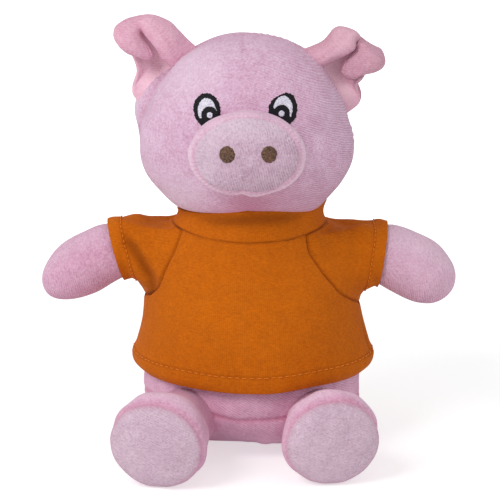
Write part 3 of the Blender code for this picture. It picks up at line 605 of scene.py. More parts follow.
# Arms
# Each arm is a stuffed velour tube, rounded at the hand, that stands out from the shoulder and
# droops. Its one seam runs along the front just above the lower edge.
arm_length = 0.0428
arm_root_share = -0.25
arm_droop = math.radians(16)
arm_station_shares = (-0.25, -0.1, 0.08, 0.20, 0.27, 0.36, 0.48, 0.60, 0.72, 0.85, 1.0)
arm_radius_mm = {
    "left": (6.0, 8.4, 10.6, 11.8, 12.6, 13.2, 13.6, 13.7, 13.7, 13.7, 13.7),
    "right": (6.0, 8.4, 10.2, 11.2, 11.6, 12.2, 12.6, 12.6, 12.6, 12.6, 12.6),
}
arm_rise_mm = {
    "left": (0.0, 0.9, 2.0, 2.7, 2.8, 2.5, 1.8, 0.9, -0.1, -1.1, -1.6),
    "right": (0.0, 1.3, 3.0, 4.0, 4.1, 3.8, 3.0, 2.1, 1.0, -0.1, -1.4),
}
hand_from = 0.52
arm_end = {"left": 1.005, "right": 1.035}
arm_side_tint = {"left": 0.17, "right": -0.06}
arm_top_highlight, arm_under_shade = 0.22, 0.18
arm_seam_angle = math.radians(40)
arm_pink = velour(
    "arm_velour", pink, pink_shade,
    centre=(0, 0, 0.078), rows=(6800, 0, 1200), ribs=0.1, rake=(0, 0, -35), bump=0.9,
)


def arm_heading(side):
    """The straight direction from the shoulder to the hand."""
    return np.array((side * math.cos(arm_droop), 0, -math.sin(arm_droop)))


def arm_radii_at(label, at):
    """The arm's radius along its length: the table's, times a circle's fall-off over the hand."""
    hand = np.clip((at - hand_from) / (arm_end[label] - hand_from), 0, 0.9995)
    return through(arm_station_shares, arm_radius_mm[label], at) * np.sqrt(1 - hand**2.4) * mm


def arm_rise_at(label, at):
    """How far the arm's middle lies above the straight line from the shoulder, in metres."""
    return through(arm_station_shares, arm_rise_mm[label], at) * mm


for side, label in both_sides:
    shoulder = joint_place[f"shoulder_{label}"]
    arm_at = np.sin(np.linspace(0, 1, 150) * math.pi / 2)
    arm_at = arm_root_share + (arm_end[label] - arm_root_share) * arm_at
    arm_radii = arm_radii_at(label, arm_at)
    arm_rise = arm_rise_at(label, arm_at)
    arm = limb_rings(shoulder, arm_heading(side), arm_at * arm_length, arm_radii, 200, arm_rise)
    arm_angles = around(200)[None]
    seam_angle = arm_seam_angle - math.pi if side > 0 else -arm_seam_angle
    off_seam = (arm_angles - seam_angle) * arm_radii[:, None]
    arm_relief = -0.6 * seam_depth * groove(off_seam) * near(arm_at[:, None], 0.1, 0.2)
    arm_relief = arm_relief + 0.7 * pile_lumps * lumps(arm, 0.016, 31 + side)
    arm += outward(arm) * arm_relief[..., None]
    # The pig's left arm is coloured a little paler over all and its right arm a little deeper; a painted
    # highlight lies along the top, painted shade underneath and along the seam.
    arm_tint = arm_side_tint[label] - 0.5 * groove(off_seam, seam_shadow_width)
    arm_tint = arm_tint + arm_top_highlight * near(np.sin(arm_angles), 0.3, 0.95)
    arm_tint = arm_tint - arm_under_shade * near(-np.sin(arm_angles), 0.2, 0.95)
    arm_skin = sewn(f"arm_skin_{label}_velour", *skin(arm), arm_pink, tint=arm_tint)
    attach(arm_skin, f"arm_{label}")
    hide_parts(f"arm_skin_{label}", f"arm_stuffing_{label}")

# Shirt body
# The shirt is orange single jersey. Its front and back are one tube here, sewn at the sides, with
# a folded hem that is stitched all round and raglan seams where the sleeves are let in.
shirt_half_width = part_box("shirt_front")[1].x
shirt_front_depth, shirt_back_depth = 0.0446, 0.0386
shirt_top_z, shirt_top_rise = 0.0907, 0.003
shirt_level_shares = (0.0, 0.035, 0.075, 0.16, 0.31, 0.50, 0.69, 0.86, 1.0)
shirt_width_shares = {
    "left": (0.935, 0.990, 1.005, 0.975, 0.925, 0.875, 0.82, 0.735, 0.632),
    "right": (0.930, 0.978, 0.988, 0.960, 0.915, 0.884, 0.840, 0.745, 0.632),
}
shirt_front_shares = (0.985, 0.992, 0.992, 0.985, 0.965, 0.91, 0.835, 0.76, 0.709)
shirt_back_shares = (0.975, 0.985, 0.985, 0.98, 0.96, 0.91, 0.86, 0.83, 0.819)
shirt_shift = 0.0008
hem_front_z, hem_side_z, hem_back_z = 0.0316, 0.0328, 0.032
hem_fold, hem_swell = 0.0066, 0.00035
hem_press, hem_press_width = 0.00025, 0.0005
hem_waves, hem_wave_depth, hem_wave_reach = 46, 0.00012, 0.0025
jersey_thickness = 0.0007
jersey_wale, jersey_course = 0.00078, 0.0006
jersey_per_metre = {"fuzz": 1400.0, "slubs": 210.0, "fading": 30.0}
raglan_dip, raglan_dip_across = 0.0022, (-0.0004, 0.0016)
raglan_seam_dip, raglan_seam_width = 0.0003, 0.0008
raglan_levels = {
    "left": (0.40, 0.455, 0.49, 0.53, 0.58, 0.65, 0.72, 0.81, 0.885, 1.0),
    "right": (0.46, 0.50, 0.52, 0.55, 0.60, 0.65, 0.72, 0.80, 0.87, 1.0),
}
raglan_front_deg = {
    "left": (0, 11, 19, 26, 33, 38, 42.5, 46, 48, 44),
    "right": (0, 10, 17, 22, 28, 30.5, 32, 33.5, 34, 30),
}
raglan_back_deg = (0, 12, 20, 26, 32, 36, 39, 41, 42, 38)
side_fold_angle, side_fold_width, side_fold_depth = -0.20, 0.0016, 0.0009
# The seam colour is the painted shade of seams and folds.
orange, orange_shade, orange_seam_shade = dye(211, 110, 10), dye(172, 83, 7), dye(96, 40, 6)


def jersey(name):
    """Orange jersey on its own cloth coordinates: columns of small V stitches, and soft slubs.

    The height is the sine across the columns plus the sine along the rows, which leans to
    both sides of each column.
    """
    material, tree, shader = dull_cloth(name, 0.9, 0.12, 0.04, 0.5, (1.0, 0.72, 0.45, 1))
    cloth = node(tree, "ShaderNodeAttribute", attribute_name="weave").outputs["Vector"]
    axes = node(tree, "ShaderNodeSeparateXYZ", {0: cloth}).outputs
    column = arithmetic(tree, "MULTIPLY", axes[0], 2 * math.pi / jersey_wale)
    rib = arithmetic(tree, "SINE", column)
    half_turn = arithmetic(tree, "SINE", arithmetic(tree, "MULTIPLY", column, 0.5))
    lean = arithmetic(tree, "MULTIPLY", arithmetic(tree, "ABSOLUTE", half_turn), 2.6)
    row = arithmetic(tree, "MULTIPLY_ADD", axes[1], 2 * math.pi / jersey_course, lean)
    knit = arithmetic(tree, "MULTIPLY_ADD", rib, 0.12, 0.5)
    knit = arithmetic(tree, "MULTIPLY_ADD", arithmetic(tree, "SINE", row), 0.10, knit)
    place = node(tree, "ShaderNodeTexCoord").outputs["Object"]
    flat = vector_maths(tree, "MULTIPLY", place, (0.55, 0.55, 1.25))[0]
    fuzz = noise(tree, flat, jersey_per_metre["fuzz"], 3.0)
    slub = noise(tree, place, jersey_per_metre["slubs"], 3.0)
    faded = noise(tree, place, jersey_per_metre["fading"], 1.0)
    light = -0.4
    for part, share in ((fuzz, 0.9), (knit, 0.5), (faded, 0.22), (slub, 0.32)):
        light = arithmetic(tree, "MULTIPLY_ADD", part, share, light)
    light = node(tree, "ShaderNodeMapRange", {"Value": light, "From Min": 0.24, "From Max": 0.90}).outputs[0]
    # Below 0 the tint turns the jersey towards painted shade.
    tint = node(tree, "ShaderNodeAttribute", attribute_name="tint").outputs["Fac"]
    colour_with_painted_light = creased(tree, tint, mixed(tree, light, orange_shade, orange), orange_seam_shade)
    surfaced(tree, shader, colour_with_painted_light, arithmetic(tree, "MULTIPLY_ADD", fuzz, 0.9, knit), 0.35, 0.0004)
    return material


def shirt_surface(angles, levels):
    """The shirt's outer face: ovals from the hem up to the neck seam, which climbs at the shoulders."""
    aside, in_front = np.abs(np.cos(angles)), np.sin(angles) < 0
    front_hem = hem_front_z + (hem_side_z - hem_front_z) * near(aside, 0.1, 0.6)
    back_hem = hem_back_z + (hem_side_z - hem_back_z) * aside**2
    hem = np.where(in_front, front_hem, back_hem)
    neck = shirt_top_z + shirt_top_rise * np.cos(angles) ** 2
    left = through(shirt_level_shares, shirt_width_shares["left"], levels)
    right = through(shirt_level_shares, shirt_width_shares["right"], levels)
    width = shirt_half_width * np.where(np.cos(angles) > 0, left, right)
    front = shirt_front_depth * through(shirt_level_shares, shirt_front_shares, levels)
    back = shirt_back_depth * through(shirt_level_shares, shirt_back_shares, levels)
    across = shirt_shift * fading(levels, 0.5, 1.0) + width * np.cos(angles)
    return places(across, np.where(in_front, front, back) * np.sin(angles), hem + (neck - hem) * levels)


def cloth_coordinates(rings):
    """How far each point lies round and along the tube, in metres, read on its middle ring."""
    steps = np.linalg.norm(np.diff(rings, axis=0), axis=2).mean(1)
    up = np.concatenate([[0], np.cumsum(steps)])
    girth = np.linalg.norm(np.roll(rings, -1, 1) - rings, axis=2).sum(1).mean()
    across = np.abs(np.linspace(-1, 1, rings.shape[1], endpoint=False)) * girth / 2
    return places(across[None], up[:, None], 0.0)


def jersey_tube(name, outer, thickness, tint):
    """A jersey tube with its wall: its outer face, and the same face again set inwards, joined."""
    inner = outer - thickness * outward(outer)
    weave = cloth_coordinates(outer)
    rings, weave, tint = [
        np.concatenate([face, back[::-1]]) for face, back in ((outer, inner), (weave, weave), (tint, tint))
    ]
    return sewn(name, *skin(rings, tube=True), shirt_jersey, weave, tint)


shirt_jersey = jersey("orange_jersey_cloth")
shirt_angles, shirt_levels = np.meshgrid(around(420), np.linspace(0, 1, 200))
shirt = shirt_surface(shirt_angles, shirt_levels)
shirt_out = outward(shirt)
off_hem = shirt[..., 2] - shirt[:1, :, 2] - hem_fold
shirt_relief = 0.00025 * lumps(shirt * (1, 1, 0.6), 0.03, 5)
shirt_relief += hem_swell * fading(off_hem, -0.0002, 0.0006) - hem_press * groove(off_hem, hem_press_width)
shirt_relief += hem_wave_depth * np.sin(shirt_angles * hem_waves) * groove(off_hem, hem_wave_reach)
# Painted shade along the hem fold, under the collar, along the raglan seams and in the side fold.
shirt_tint = -0.3 * groove(off_hem, 0.0006) - 0.3 * groove(shirt_levels - 1, 0.012)
for side, label in both_sides:
    facing = shirt_angles if side > 0 else np.where(shirt_angles < 0, -math.pi, math.pi) - shirt_angles
    limit_front = np.radians(through(raglan_levels[label], raglan_front_deg[label], shirt_levels))
    limit_back = np.radians(through(raglan_levels[label], raglan_back_deg, shirt_levels))
    inside = (np.where(facing < 0, limit_front, limit_back) - np.abs(facing)) * shirt_half_width
    inside = np.where(shirt_levels > raglan_levels[label][0], inside, -1.0)
    shirt_relief -= raglan_dip * near(inside, *raglan_dip_across)
    shirt_relief -= raglan_seam_dip * groove(inside, raglan_seam_width)
    shirt_tint -= 0.45 * groove(inside, 0.0005)
side_fold = groove((shirt_angles - side_fold_angle) * shirt_half_width, side_fold_width)
side_fold = side_fold * near(shirt_levels, 0.03, 0.1) * fading(shirt_levels, 0.2, 0.42)
shirt_relief -= side_fold_depth * side_fold
shirt_tint -= 0.25 * side_fold
shirt = shirt + shirt_out * shirt_relief[..., None]
shirt_body = jersey_tube("shirt_body", shirt, jersey_thickness, shirt_tint)
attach(shirt_body, "torso")
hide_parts("shirt_front", "shirt_back")

# Hem stitches
# One row of orange thread, a little lighter than the jersey, holds the folded hem. Each stitch is
# a short raised length of thread that dips into the cloth at both ends.
stitch_pitch, stitch_length = 0.0029, 0.0023
thread_radius = 0.00026
thread_orange = dye(226, 124, 20)


def thread(name, colour, shade, grain=3000.0, shine=0.3):
    """Glossy embroidery thread: fine fibres as noise, a little paler on their tops as a painted highlight."""
    material, tree, shader = dull_cloth(name, 0.55, shine)
    place = node(tree, "ShaderNodeTexCoord").outputs["Object"]
    fibres = clamped(tree, arithmetic(tree, "MULTIPLY_ADD", noise(tree, place, grain, 2.0), 2.4, -0.7))
    surfaced(tree, shader, mixed(tree, fibres, shade, colour), fibres, 0.4, 0.0002)
    return material


def row_of_stitches(name, line, ups, pitch, length, seed):
    """Capsules of orange thread, set at an even pitch along a closed line that lies on the cloth.

    Each capsule's radius is an ellipse's, and its two ends dip.
    """
    line, ups = np.concatenate([line, line[:1]]), np.concatenate([ups, ups[:1]])
    run = np.concatenate([[0], np.cumsum(np.linalg.norm(np.diff(line, axis=0), axis=1))])
    draw = np.random.default_rng(seed)
    at = np.arange(pitch / 2, run[-1], pitch)
    at = at + draw.uniform(-0.06, 0.06, len(at)) * pitch
    middles, ahead, behind = [
        np.stack([np.interp(at + shift, run, line[:, axis]) for axis in range(3)], -1)
        for shift in (0, length / 2, -length / 2)
    ]
    headings = unit(ahead - behind)
    up = unit(np.stack([np.interp(at, run, ups[:, axis]) for axis in range(3)], -1))

    along = np.linspace(-1, 1, 7)[:, None]
    size = thread_radius * np.sqrt(np.clip(1 - along**2, 0.02, 1))
    lift = thread_radius * (0.9 - 1.5 * along**2)
    spine = middles[:, None] + along * headings[:, None] * length / 2 + lift * up[:, None]
    angles = around(8)[:, None]
    across = np.cross(headings, up)
    circle = np.cos(angles) * across[:, None, None] + np.sin(angles) * up[:, None, None]
    rings = spine[:, :, None] + size[:, None] * circle
    count, rows, sides = rings.shape[:3]
    poles = (rings[:, :1].mean(2), rings[:, -1:].mean(2))
    points = np.concatenate([rings.reshape(count, -1, 3), *poles], axis=1).reshape(-1, 3)
    one_faces = skin(rings[0])[1]
    starts = [number * (rows * sides + 2) for number in range(count)]
    faces = [tuple(corner + start for corner in face) for start in starts for face in one_faces]
    return sewn(name, points, faces, orange_thread)


orange_thread = thread("orange_thread", thread_orange, orange)
hem_row, hem_columns = np.argmin(np.abs(off_hem), axis=0), np.arange(shirt.shape[1])
hem_line, hem_ups = shirt[hem_row, hem_columns], shirt_out[hem_row, hem_columns]
hem_stitches = row_of_stitches("hem_stitches", hem_line, hem_ups, stitch_pitch, stitch_length, 7)
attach(hem_stitches, "torso")

# Collar
# A mock neck: one band of jersey folded double, sewn to the neck seam and standing up under the
# chin. Its lower seam is a line of painted shade, and its fold makes a soft round rim.
collar_radius_mm = (32.3, 30.9, 30.2, 30.3, 31.0)
collar_wall = 0.0018
collar_overlap = 0.0006
collar_seam_dip, collar_rim_dip = 0.0009, 0.0006
collar_top_aside = 0.0009
collar_top_mm, collar_top_lean_mm, collar_top_front_mm = 100.9, 1.7, 3.0
collar_lumps = 0.00025

collar_angles = around(360)[None]
collar_up = np.linspace(0, 1, 60)[:, None]
collar_seam_z = shirt_top_z + shirt_top_rise * np.cos(collar_angles) ** 2 - collar_overlap
collar_radius = through(np.linspace(0, 1, len(collar_radius_mm)), collar_radius_mm, collar_up) * mm
collar_radius = collar_radius - collar_seam_dip * groove(collar_up, 0.08)
collar_radius = collar_radius - collar_rim_dip * near(collar_up, 0.93, 1.0)
collar_rise_mm = collar_top_mm + collar_top_lean_mm * np.cos(collar_angles)
collar_rise_mm = collar_rise_mm + collar_top_front_mm * np.maximum(-np.sin(collar_angles), 0) ** 1.5
band = places(
    collar_top_aside * near(collar_up, 0.2, 1.0) + collar_radius * np.cos(collar_angles),
    collar_radius * np.sin(collar_angles),
    collar_seam_z + (collar_rise_mm * mm - collar_seam_z) * collar_up,
)
band = band + outward(band) * (collar_lumps * lumps(band, 0.02, 41))[..., None]
# Painted shade along the lower seam and over the upper half under the chin, and a band of painted shadow
# across the front.
band_tint = -0.7 * groove(collar_up, 0.06) - 0.15 * near(collar_up, 0.45, 0.95)
band_tint = band_tint - 0.45 * groove(collar_up - 0.68, 0.2) * near(-np.sin(collar_angles), 0.6, 0.95)
collar_band = jersey_tube("shirt_collar_band", band, collar_wall, band_tint)
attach(collar_band, "torso")
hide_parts("shirt_collar")

# Sleeves
# Raglan sleeves: each is let into the shirt along a slanting seam from the neck band to the
# underarm, front and back, and ends in a stitched hem round the arm. A crease runs down the
# front of the right one.
sleeve_cuff = {
    "left": {"middle": (54.9, -0.4, 79.4), "tilt": 8, "radius": 13.4, "crown": 0.8},
    "right": {"middle": (-55.6, -0.4, 81.9), "tilt": 15, "radius": 12.3, "crown": 1.5},
}
sleeve_sides, sleeve_rows = 260, 120
sleeve_room = 0.0005
sleeve_lumps, sleeve_seam_dip = 0.0005, 0.0012
sleeve_leave, sleeve_arrive, sleeve_easing = 1.1, 0.9, 40
crown_up = (0.085, 0.093)
neck_from, neck_to = 0.38, 0.62
cuff_hem, cuff_swell, cuff_press = 0.0056, 0.0003, 0.0002
cuff_pitch, cuff_stitch = 0.0021, 0.0016
crease_top_x, crease_top_z = -0.0502, 0.0893
crease_across, crease_down = 0.0092, 0.0168
crease_dip, crease_swell, crease_swell_x = 0.0013, 0.0009, 0.0055


def sleeve_seam(side, label):
    """Angles and levels of the armhole on the shirt body: up its front, round the neck, down its back."""
    share = np.linspace(0, 1, sleeve_sides, endpoint=False)
    climb = np.clip(np.minimum(share, 1 - share) / neck_from, 0, 1)
    stations = np.linspace(0, 1, len(raglan_levels[label]))
    level = np.where(climb < 1, through(stations, raglan_levels[label], climb), 1.0)
    front = np.radians(through(stations, raglan_front_deg[label], climb))
    back = np.radians(through(stations, raglan_back_deg, climb))
    round_neck = -front + (front + back) * near(share, neck_from, neck_to)
    angle = np.where(share < neck_from, -front, np.where(share > neck_to, back, round_neck))
    angle = angle if side > 0 else math.pi - angle
    return (angle + math.pi) % (2 * math.pi) - math.pi, level


def clear_of_arm(points, side, label, room):
    """Push points out square to the arm's bent axis until they lie the given room off its skin."""
    shoulder = joint_place[f"shoulder_{label}"]
    along, _, upright = limb_axes(arm_heading(side))
    at = np.clip((points - shoulder) @ along / arm_length, arm_root_share, 0.9)
    axis = shoulder + at[..., None] * arm_length * along + arm_rise_at(label, at)[..., None] * upright
    away = points - axis
    away = away - (away @ along)[..., None] * along
    distance = np.maximum(np.linalg.norm(away, axis=-1), 1e-6)
    push = np.maximum(arm_radii_at(label, at) + room - distance, 0) * near(at, -0.22, -0.02)
    return points + away / distance[..., None] * push[..., None]


def eased(rings, rounds):
    """Even out a cloth tube: each point moves a quarter way to its neighbours' middles, many times."""
    for _ in range(rounds):
        rings[1:-1] += 0.25 * (rings[2:] + rings[:-2] - 2 * rings[1:-1])
        rings[1:] += 0.25 * (np.roll(rings, 1, 1) + np.roll(rings, -1, 1) - 2 * rings)[1:]
    return rings


for side, label in both_sides:
    seam_angle, seam_level = sleeve_seam(side, label)
    seam_line = shirt_surface(seam_angle, seam_level)
    small = 0.004
    spread = shirt_surface(seam_angle + small, seam_level) - shirt_surface(seam_angle - small, seam_level)
    slope = shirt_surface(seam_angle, np.minimum(seam_level + small, 1))
    slope = slope - shirt_surface(seam_angle, seam_level - small)
    seam_out = unit(np.cross(spread, slope))
    seam_out *= np.sign((seam_out * seam_line * (1, 1, 0)).sum(1, keepdims=True))

    cuff = sleeve_cuff[label]
    tilt = math.radians(cuff["tilt"])
    cuff_along = np.array((side * math.cos(tilt), 0, -math.sin(tilt)))
    cuff_up = np.array((side * math.sin(tilt), 0, math.cos(tilt)))
    cuff_angle = -math.pi / 2 - 2 * math.pi * np.linspace(0, 1, sleeve_sides, endpoint=False)
    cuff_circle = np.cos(cuff_angle)[:, None] * (0, 1, 0) + np.sin(cuff_angle)[:, None] * cuff_up
    cuff_line = (np.array(cuff["middle"]) + cuff["radius"] * cuff_circle) * mm

    # A Hermite curve from each place on the seam, leaving along the shirt, to its place on the cuff.
    leave = cuff_line - seam_line
    gap_length = np.linalg.norm(leave, axis=1, keepdims=True)
    leave = unit(leave - (leave * seam_out).sum(1, keepdims=True) * seam_out) * gap_length * sleeve_leave
    arrive = cuff_along * gap_length * sleeve_arrive
    at = np.linspace(0, 1, sleeve_rows)[:, None, None]
    sleeve = (1 + 2 * at) * (1 - at) ** 2 * seam_line + at * (1 - at) ** 2 * leave
    sleeve = sleeve + at**2 * (3 - 2 * at) * cuff_line - at**2 * (1 - at) * arrive
    crown = cuff["crown"] * mm * np.sin(math.pi * at[..., 0]) * near(sleeve[..., 2], *crown_up)
    sleeve = sleeve + crown[..., None] * (0, 0, 1)
    sleeve = eased(clear_of_arm(sleeve, side, label, jersey_thickness + sleeve_room), sleeve_easing)
    sleeve_out = outward(sleeve)
    from_seam, to_cuff = at[..., 0] * gap_length[:, 0], (1 - at[..., 0]) * gap_length[:, 0]
    off_hem = to_cuff - cuff_hem
    sleeve_relief = sleeve_lumps * lumps(sleeve, 0.014, 51 + side)
    sleeve_relief *= near(from_seam, 0.0, 0.006) * near(to_cuff, 0.0, 0.004)
    sleeve_relief += cuff_swell * fading(off_hem, -0.0002, 0.0005) - cuff_press * groove(off_hem, 0.0005)
    sleeve_relief -= sleeve_seam_dip * groove(from_seam)
    # Painted shade along the raglan seam and the cuff's hem.
    sleeve_tint = -0.35 * groove(from_seam) - 0.2 * groove(off_hem, 0.0006)
    if label == "right":
        crease_run = np.clip((crease_top_z - sleeve[..., 2]) / crease_down, -0.15, 1.1)
        crease_x = crease_top_x + crease_across * crease_run
        off_crease = sleeve[..., 0] - crease_x
        in_front = near(-sleeve[..., 1], 0.002, 0.008) * near(crease_run, -0.15, 0.25)
        sleeve_relief -= crease_dip * in_front * groove(off_crease, 0.0024)
        sleeve_relief += crease_swell * in_front * groove(off_crease - crease_swell_x, 0.0028)
    sleeve = sleeve + sleeve_out * sleeve_relief[..., None]
    # Painted shade in the crease.
    if label == "right":
        sleeve_tint -= 0.50 * in_front * groove(sleeve[..., 0] - crease_x, 0.0026)
    sleeve_piece = jersey_tube(f"sleeve_{label}_jersey", sleeve, jersey_thickness, sleeve_tint)

    stitch_at = np.clip(1 - cuff_hem / gap_length[:, 0], 0, 1) * (sleeve_rows - 1)
    stitch_row = np.minimum(stitch_at.astype(int), sleeve_rows - 2)
    stitch_share = (stitch_at - stitch_row)[:, None]
    column = np.arange(sleeve_sides)
    stitch_line = sleeve[stitch_row, column] * (1 - stitch_share)
    stitch_line = stitch_line + sleeve[stitch_row + 1, column] * stitch_share
    stitch_ups = sleeve_out[stitch_row, column]
    cuff_stitches = row_of_stitches(
        f"cuff_stitches_{label}", stitch_line, stitch_ups, cuff_pitch, cuff_stitch, 61 + side
    )
    for piece in (sleeve_piece, cuff_stitches):
        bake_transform(piece)
    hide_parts(f"sleeve_{label}")

# Head
# The head is a face panel and a back panel of velour joined by a seam over the crown, which also
# holds the ears, stuffed firmly. A short dart shapes the forehead, and the underside is hollow
# where it rests on the neck.
head_centre = np.array((-0.0012, 0, 0.131))
head_front, head_back = 0.039, 0.036
head_fullness = 0.8
head_room = neck_dome + 0.0006
head_rise_deg = (-90, -66, -47, -34, -25, -15, 0, 8, 14, 22, 30, 39, 48, 57, 75, 90)
head_reach_mm = {
    "left": (36.3, 38.1, 41.9, 43.0, 43.9, 44.6, 43.2, 41.5, 41.1, 40.9, 40.6, 40.6, 40.7, 40.6, 40.0, 39.8),
    "right": (36.3, 37.9, 41.3, 42.6, 44.0, 44.4, 43.6, 43.0, 42.2, 41.2, 40.8, 40.2, 40.4, 40.3, 39.9, 39.8),
}
back_swell_mm = (0, 0, 0, 0, 0, 0.2, 2.9, 5.3, 6.2, 5.8, 4.0, 2.3, 0.9, 0.2, 0, 0)
back_swell_turn = 0.30
head_side_blend, head_ring_crowding = 0.35, 0.175
seam_forward_mm = (0, 0, 0, 0, 0, 0.5, 2.0, 3.0, 3.6, 3.6, 2.6, 1.6, 0.8, 0, 0, 0)
crown_gather_depth, crown_gather_reach = 0.0002, 0.0022
dart_x, dart_width, dart_depth = -0.0029, 0.0006, 0.0005
dart_up, dart_front, dart_back = (0.1640, 0.1675), (-0.030, -0.022), (-0.003, 0.002)
chin_dimple, chin_dimple_depth = (-0.002, 0.1075, 0.006), 0.0012
chin_tuck, chin_tuck_up, chin_tuck_front = 0.0008, (0.1015, 0.1095), (-0.024, -0.004)
# Patches of painted light and shade on the face: place across and up, size and tint. Pale ones
# are painted highlights, deep ones painted shade under the snout and on the cheek away from the lamp.
painted_face_patches = (
    (-0.002, 0.1030, 0.011, -0.52),
    (0.014, 0.1060, 0.014, -0.25),
    (-0.002, 0.1500, 0.012, -0.05),
    (-0.026, 0.1610, 0.013, 0.35),
    (-0.030, 0.1060, 0.014, 0.40),
)
# The head's colours are paler and more lilac than the body's, a painted sheen over the whole head.
head_colour, head_shade = dye(232, 200, 223), dye(205, 156, 183)


def rise_of(angles):
    """How high an angle of the face points, in degrees, on either side of the head."""
    return np.degrees(np.arcsin(np.clip(np.sin(angles), -1, 1)))


def head_reach(angles):
    """The head's reach from its centre to the crown seam, in metres, read on the pig's own side."""
    left = through(head_rise_deg, head_reach_mm["left"], rise_of(angles))
    right = through(head_rise_deg, head_reach_mm["right"], rise_of(angles))
    return (right + (left - right) * near(np.cos(angles), -head_side_blend, head_side_blend)) * mm


def head_surface(angles, turns):
    """A full round form: reach times sine of the turn, to the fullness, and depth times cosine.

    On the pig's right the crown seam lies forward and the back panel swells out behind it.
    """
    on_right = near(-np.cos(angles), 0.1, 0.5) * mm
    swell = through(head_rise_deg, back_swell_mm, rise_of(angles)) * on_right
    shift = through(head_rise_deg, seam_forward_mm, rise_of(angles)) * on_right
    past_seam = np.maximum(turns - math.pi / 2, 0) / back_swell_turn
    reach = head_reach(angles) * np.sin(turns) ** head_fullness + swell * past_seam * np.exp(1 - past_seam)
    cosine = np.cos(turns)
    depth = np.where(cosine > 0, -head_front, head_back) * np.abs(cosine) ** head_fullness
    depth = depth - shift * np.sin(turns) ** 6
    return head_centre + places(reach * np.cos(angles), depth, reach * np.sin(angles))


def in_front_view(points, across, up, size):
    """1 at a place in the front view, fading over the given size; 0 on the back."""
    away = np.hypot(points[..., 0] - across, points[..., 2] - up)
    return groove(away, size) * fading(points[..., 1], -0.012, 0.0)


def on_face(across, up):
    """The depth of the face's surface at a place in the front view."""
    angles = np.arctan2(up - head_centre[2], across - head_centre[0])
    share = np.hypot(up - head_centre[2], across - head_centre[0]) / head_reach(angles)
    turns = np.arcsin(np.clip(share, 0, 1) ** (1 / head_fullness))
    return head_surface(angles, turns)[..., 1]


head_angles, head_turns = np.meshgrid(around(420), np.linspace(0.03, math.pi - 0.03, 300))
head_turns = head_turns + head_ring_crowding * np.sin(2 * head_turns)
head = head_surface(head_angles, head_turns)
head_x, head_y, head_z = np.moveaxis(head, -1, 0)
off_seam = (head_turns - math.pi / 2) * head_front
crown_gathers = np.sin(head_angles * 84 + 2 * np.sin(head_angles * 5))
dart_line = groove(head_x - dart_x, dart_width) * near(head_z, *dart_up)
head_relief = -0.5 * seam_depth * groove(off_seam)
head_relief += crown_gather_depth * crown_gathers * groove(off_seam - 0.001, crown_gather_reach)
head_relief -= dart_depth * dart_line * fading(head_y, *dart_back) * near(head_y, *dart_front)
head_relief += pile_lumps * 0.9 * lumps(head, 0.02, 71)
head_relief -= chin_dimple_depth * in_front_view(head, *chin_dimple)
# Painted shade along the crown seam, in the dart and under the head, with the painted face patches below.
head_tint = -0.18 * groove(off_seam, 0.0010) - 0.15 * dart_line * fading(head_y, -0.003, 0.0)
head_tint -= 0.15 * fading(head_z, 0.098, 0.108)
for across, up, size, tint in painted_face_patches:
    head_tint += tint * in_front_view(head, across, up, size)
# A painted highlight on the back panel's swell behind the seam, on the pig's right.
behind_seam = near(off_seam, 0.001, 0.006) * fading(off_seam, 0.010, 0.034)
head_tint += 0.5 * near(-np.cos(head_angles), 0.4, 1.0) * behind_seam
head = head + outward(head) * head_relief[..., None]
chin = fading(head[..., 2], *chin_tuck_up) * fading(head[..., 1], *chin_tuck_front)
head = head - chin_tuck * chin[..., None] * (0, 1, 0)
from_neck = head - neck_place
neck_distance = np.linalg.norm(from_neck, axis=-1, keepdims=True)
head = neck_place + from_neck * (neck_distance**24 + head_room**24) ** (1 / 24) / neck_distance
head_pink = velour(
    "head_velour", head_colour, head_shade,
    centre=(-0.001, -0.02, 0.130), rows=(2700, 0, 7000), ribs=0.55, rake=(22, 0, -14), bump=0.8,
)
head_skin = sewn("head_skin", *skin(head), head_pink, tint=head_tint)
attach(head_skin, "head")
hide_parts("face_panel", "head_back_panel", "head_stuffing")

# Snout
# A short band of velour stands out from the face, and a domed oval pad of greyer velour is sewn
# into its rim. The chin's tuck pulls a small notch into the lower edge.
snout_centre = np.array((-0.0011, 0.1295))
snout_half_width, snout_half_height = 0.0231, 0.0168
snout_rim_y, snout_root_y = -0.0488, -0.0300
snout_fullness = {"upper": 1.05, "lower": 0.93}
snout_notch, snout_notch_width, snout_notch_place = 0.0012, 0.0026, -0.0020
snout_depth_shares = (0.0, 0.22, 0.42, 0.62, 0.80, 0.93, 1.0)
snout_size_shares = (0.90, 0.925, 0.962, 0.995, 1.0, 0.965, 0.895)
snout_wall_share = 0.06
snout_gather_depth, pad_gather_depth = 0.00012, 0.00010
pad_share = 0.905
pad_dome, pad_edge = 0.0046, 0.0011
pad_inset, pad_rear_inset = 0.0006, 0.0012
pad_grey, pad_shade = dye(226, 197, 215), dye(188, 154, 174)


def snout_rings(depths, scales):
    """Broad ovals of the given scales, one at each depth, notched below.

    Across and up are the half sizes times cosine and sine, each to the fullness.
    """
    angles, scale = snout_angles + 1e-4, np.asarray(scales)[:, None]
    full = np.where(np.sin(angles) > 0, snout_fullness["upper"], snout_fullness["lower"])
    across = snout_half_width * scale * np.sign(np.cos(angles)) * np.abs(np.cos(angles)) ** full
    up = snout_half_height * scale * np.sign(np.sin(angles)) * np.abs(np.sin(angles)) ** full
    notch = snout_notch * scale * groove(across - snout_notch_place, snout_notch_width)
    up = np.where(up < 0, up + notch, up)
    return places(snout_centre[0] + across, np.asarray(depths)[:, None], snout_centre[1] + up)


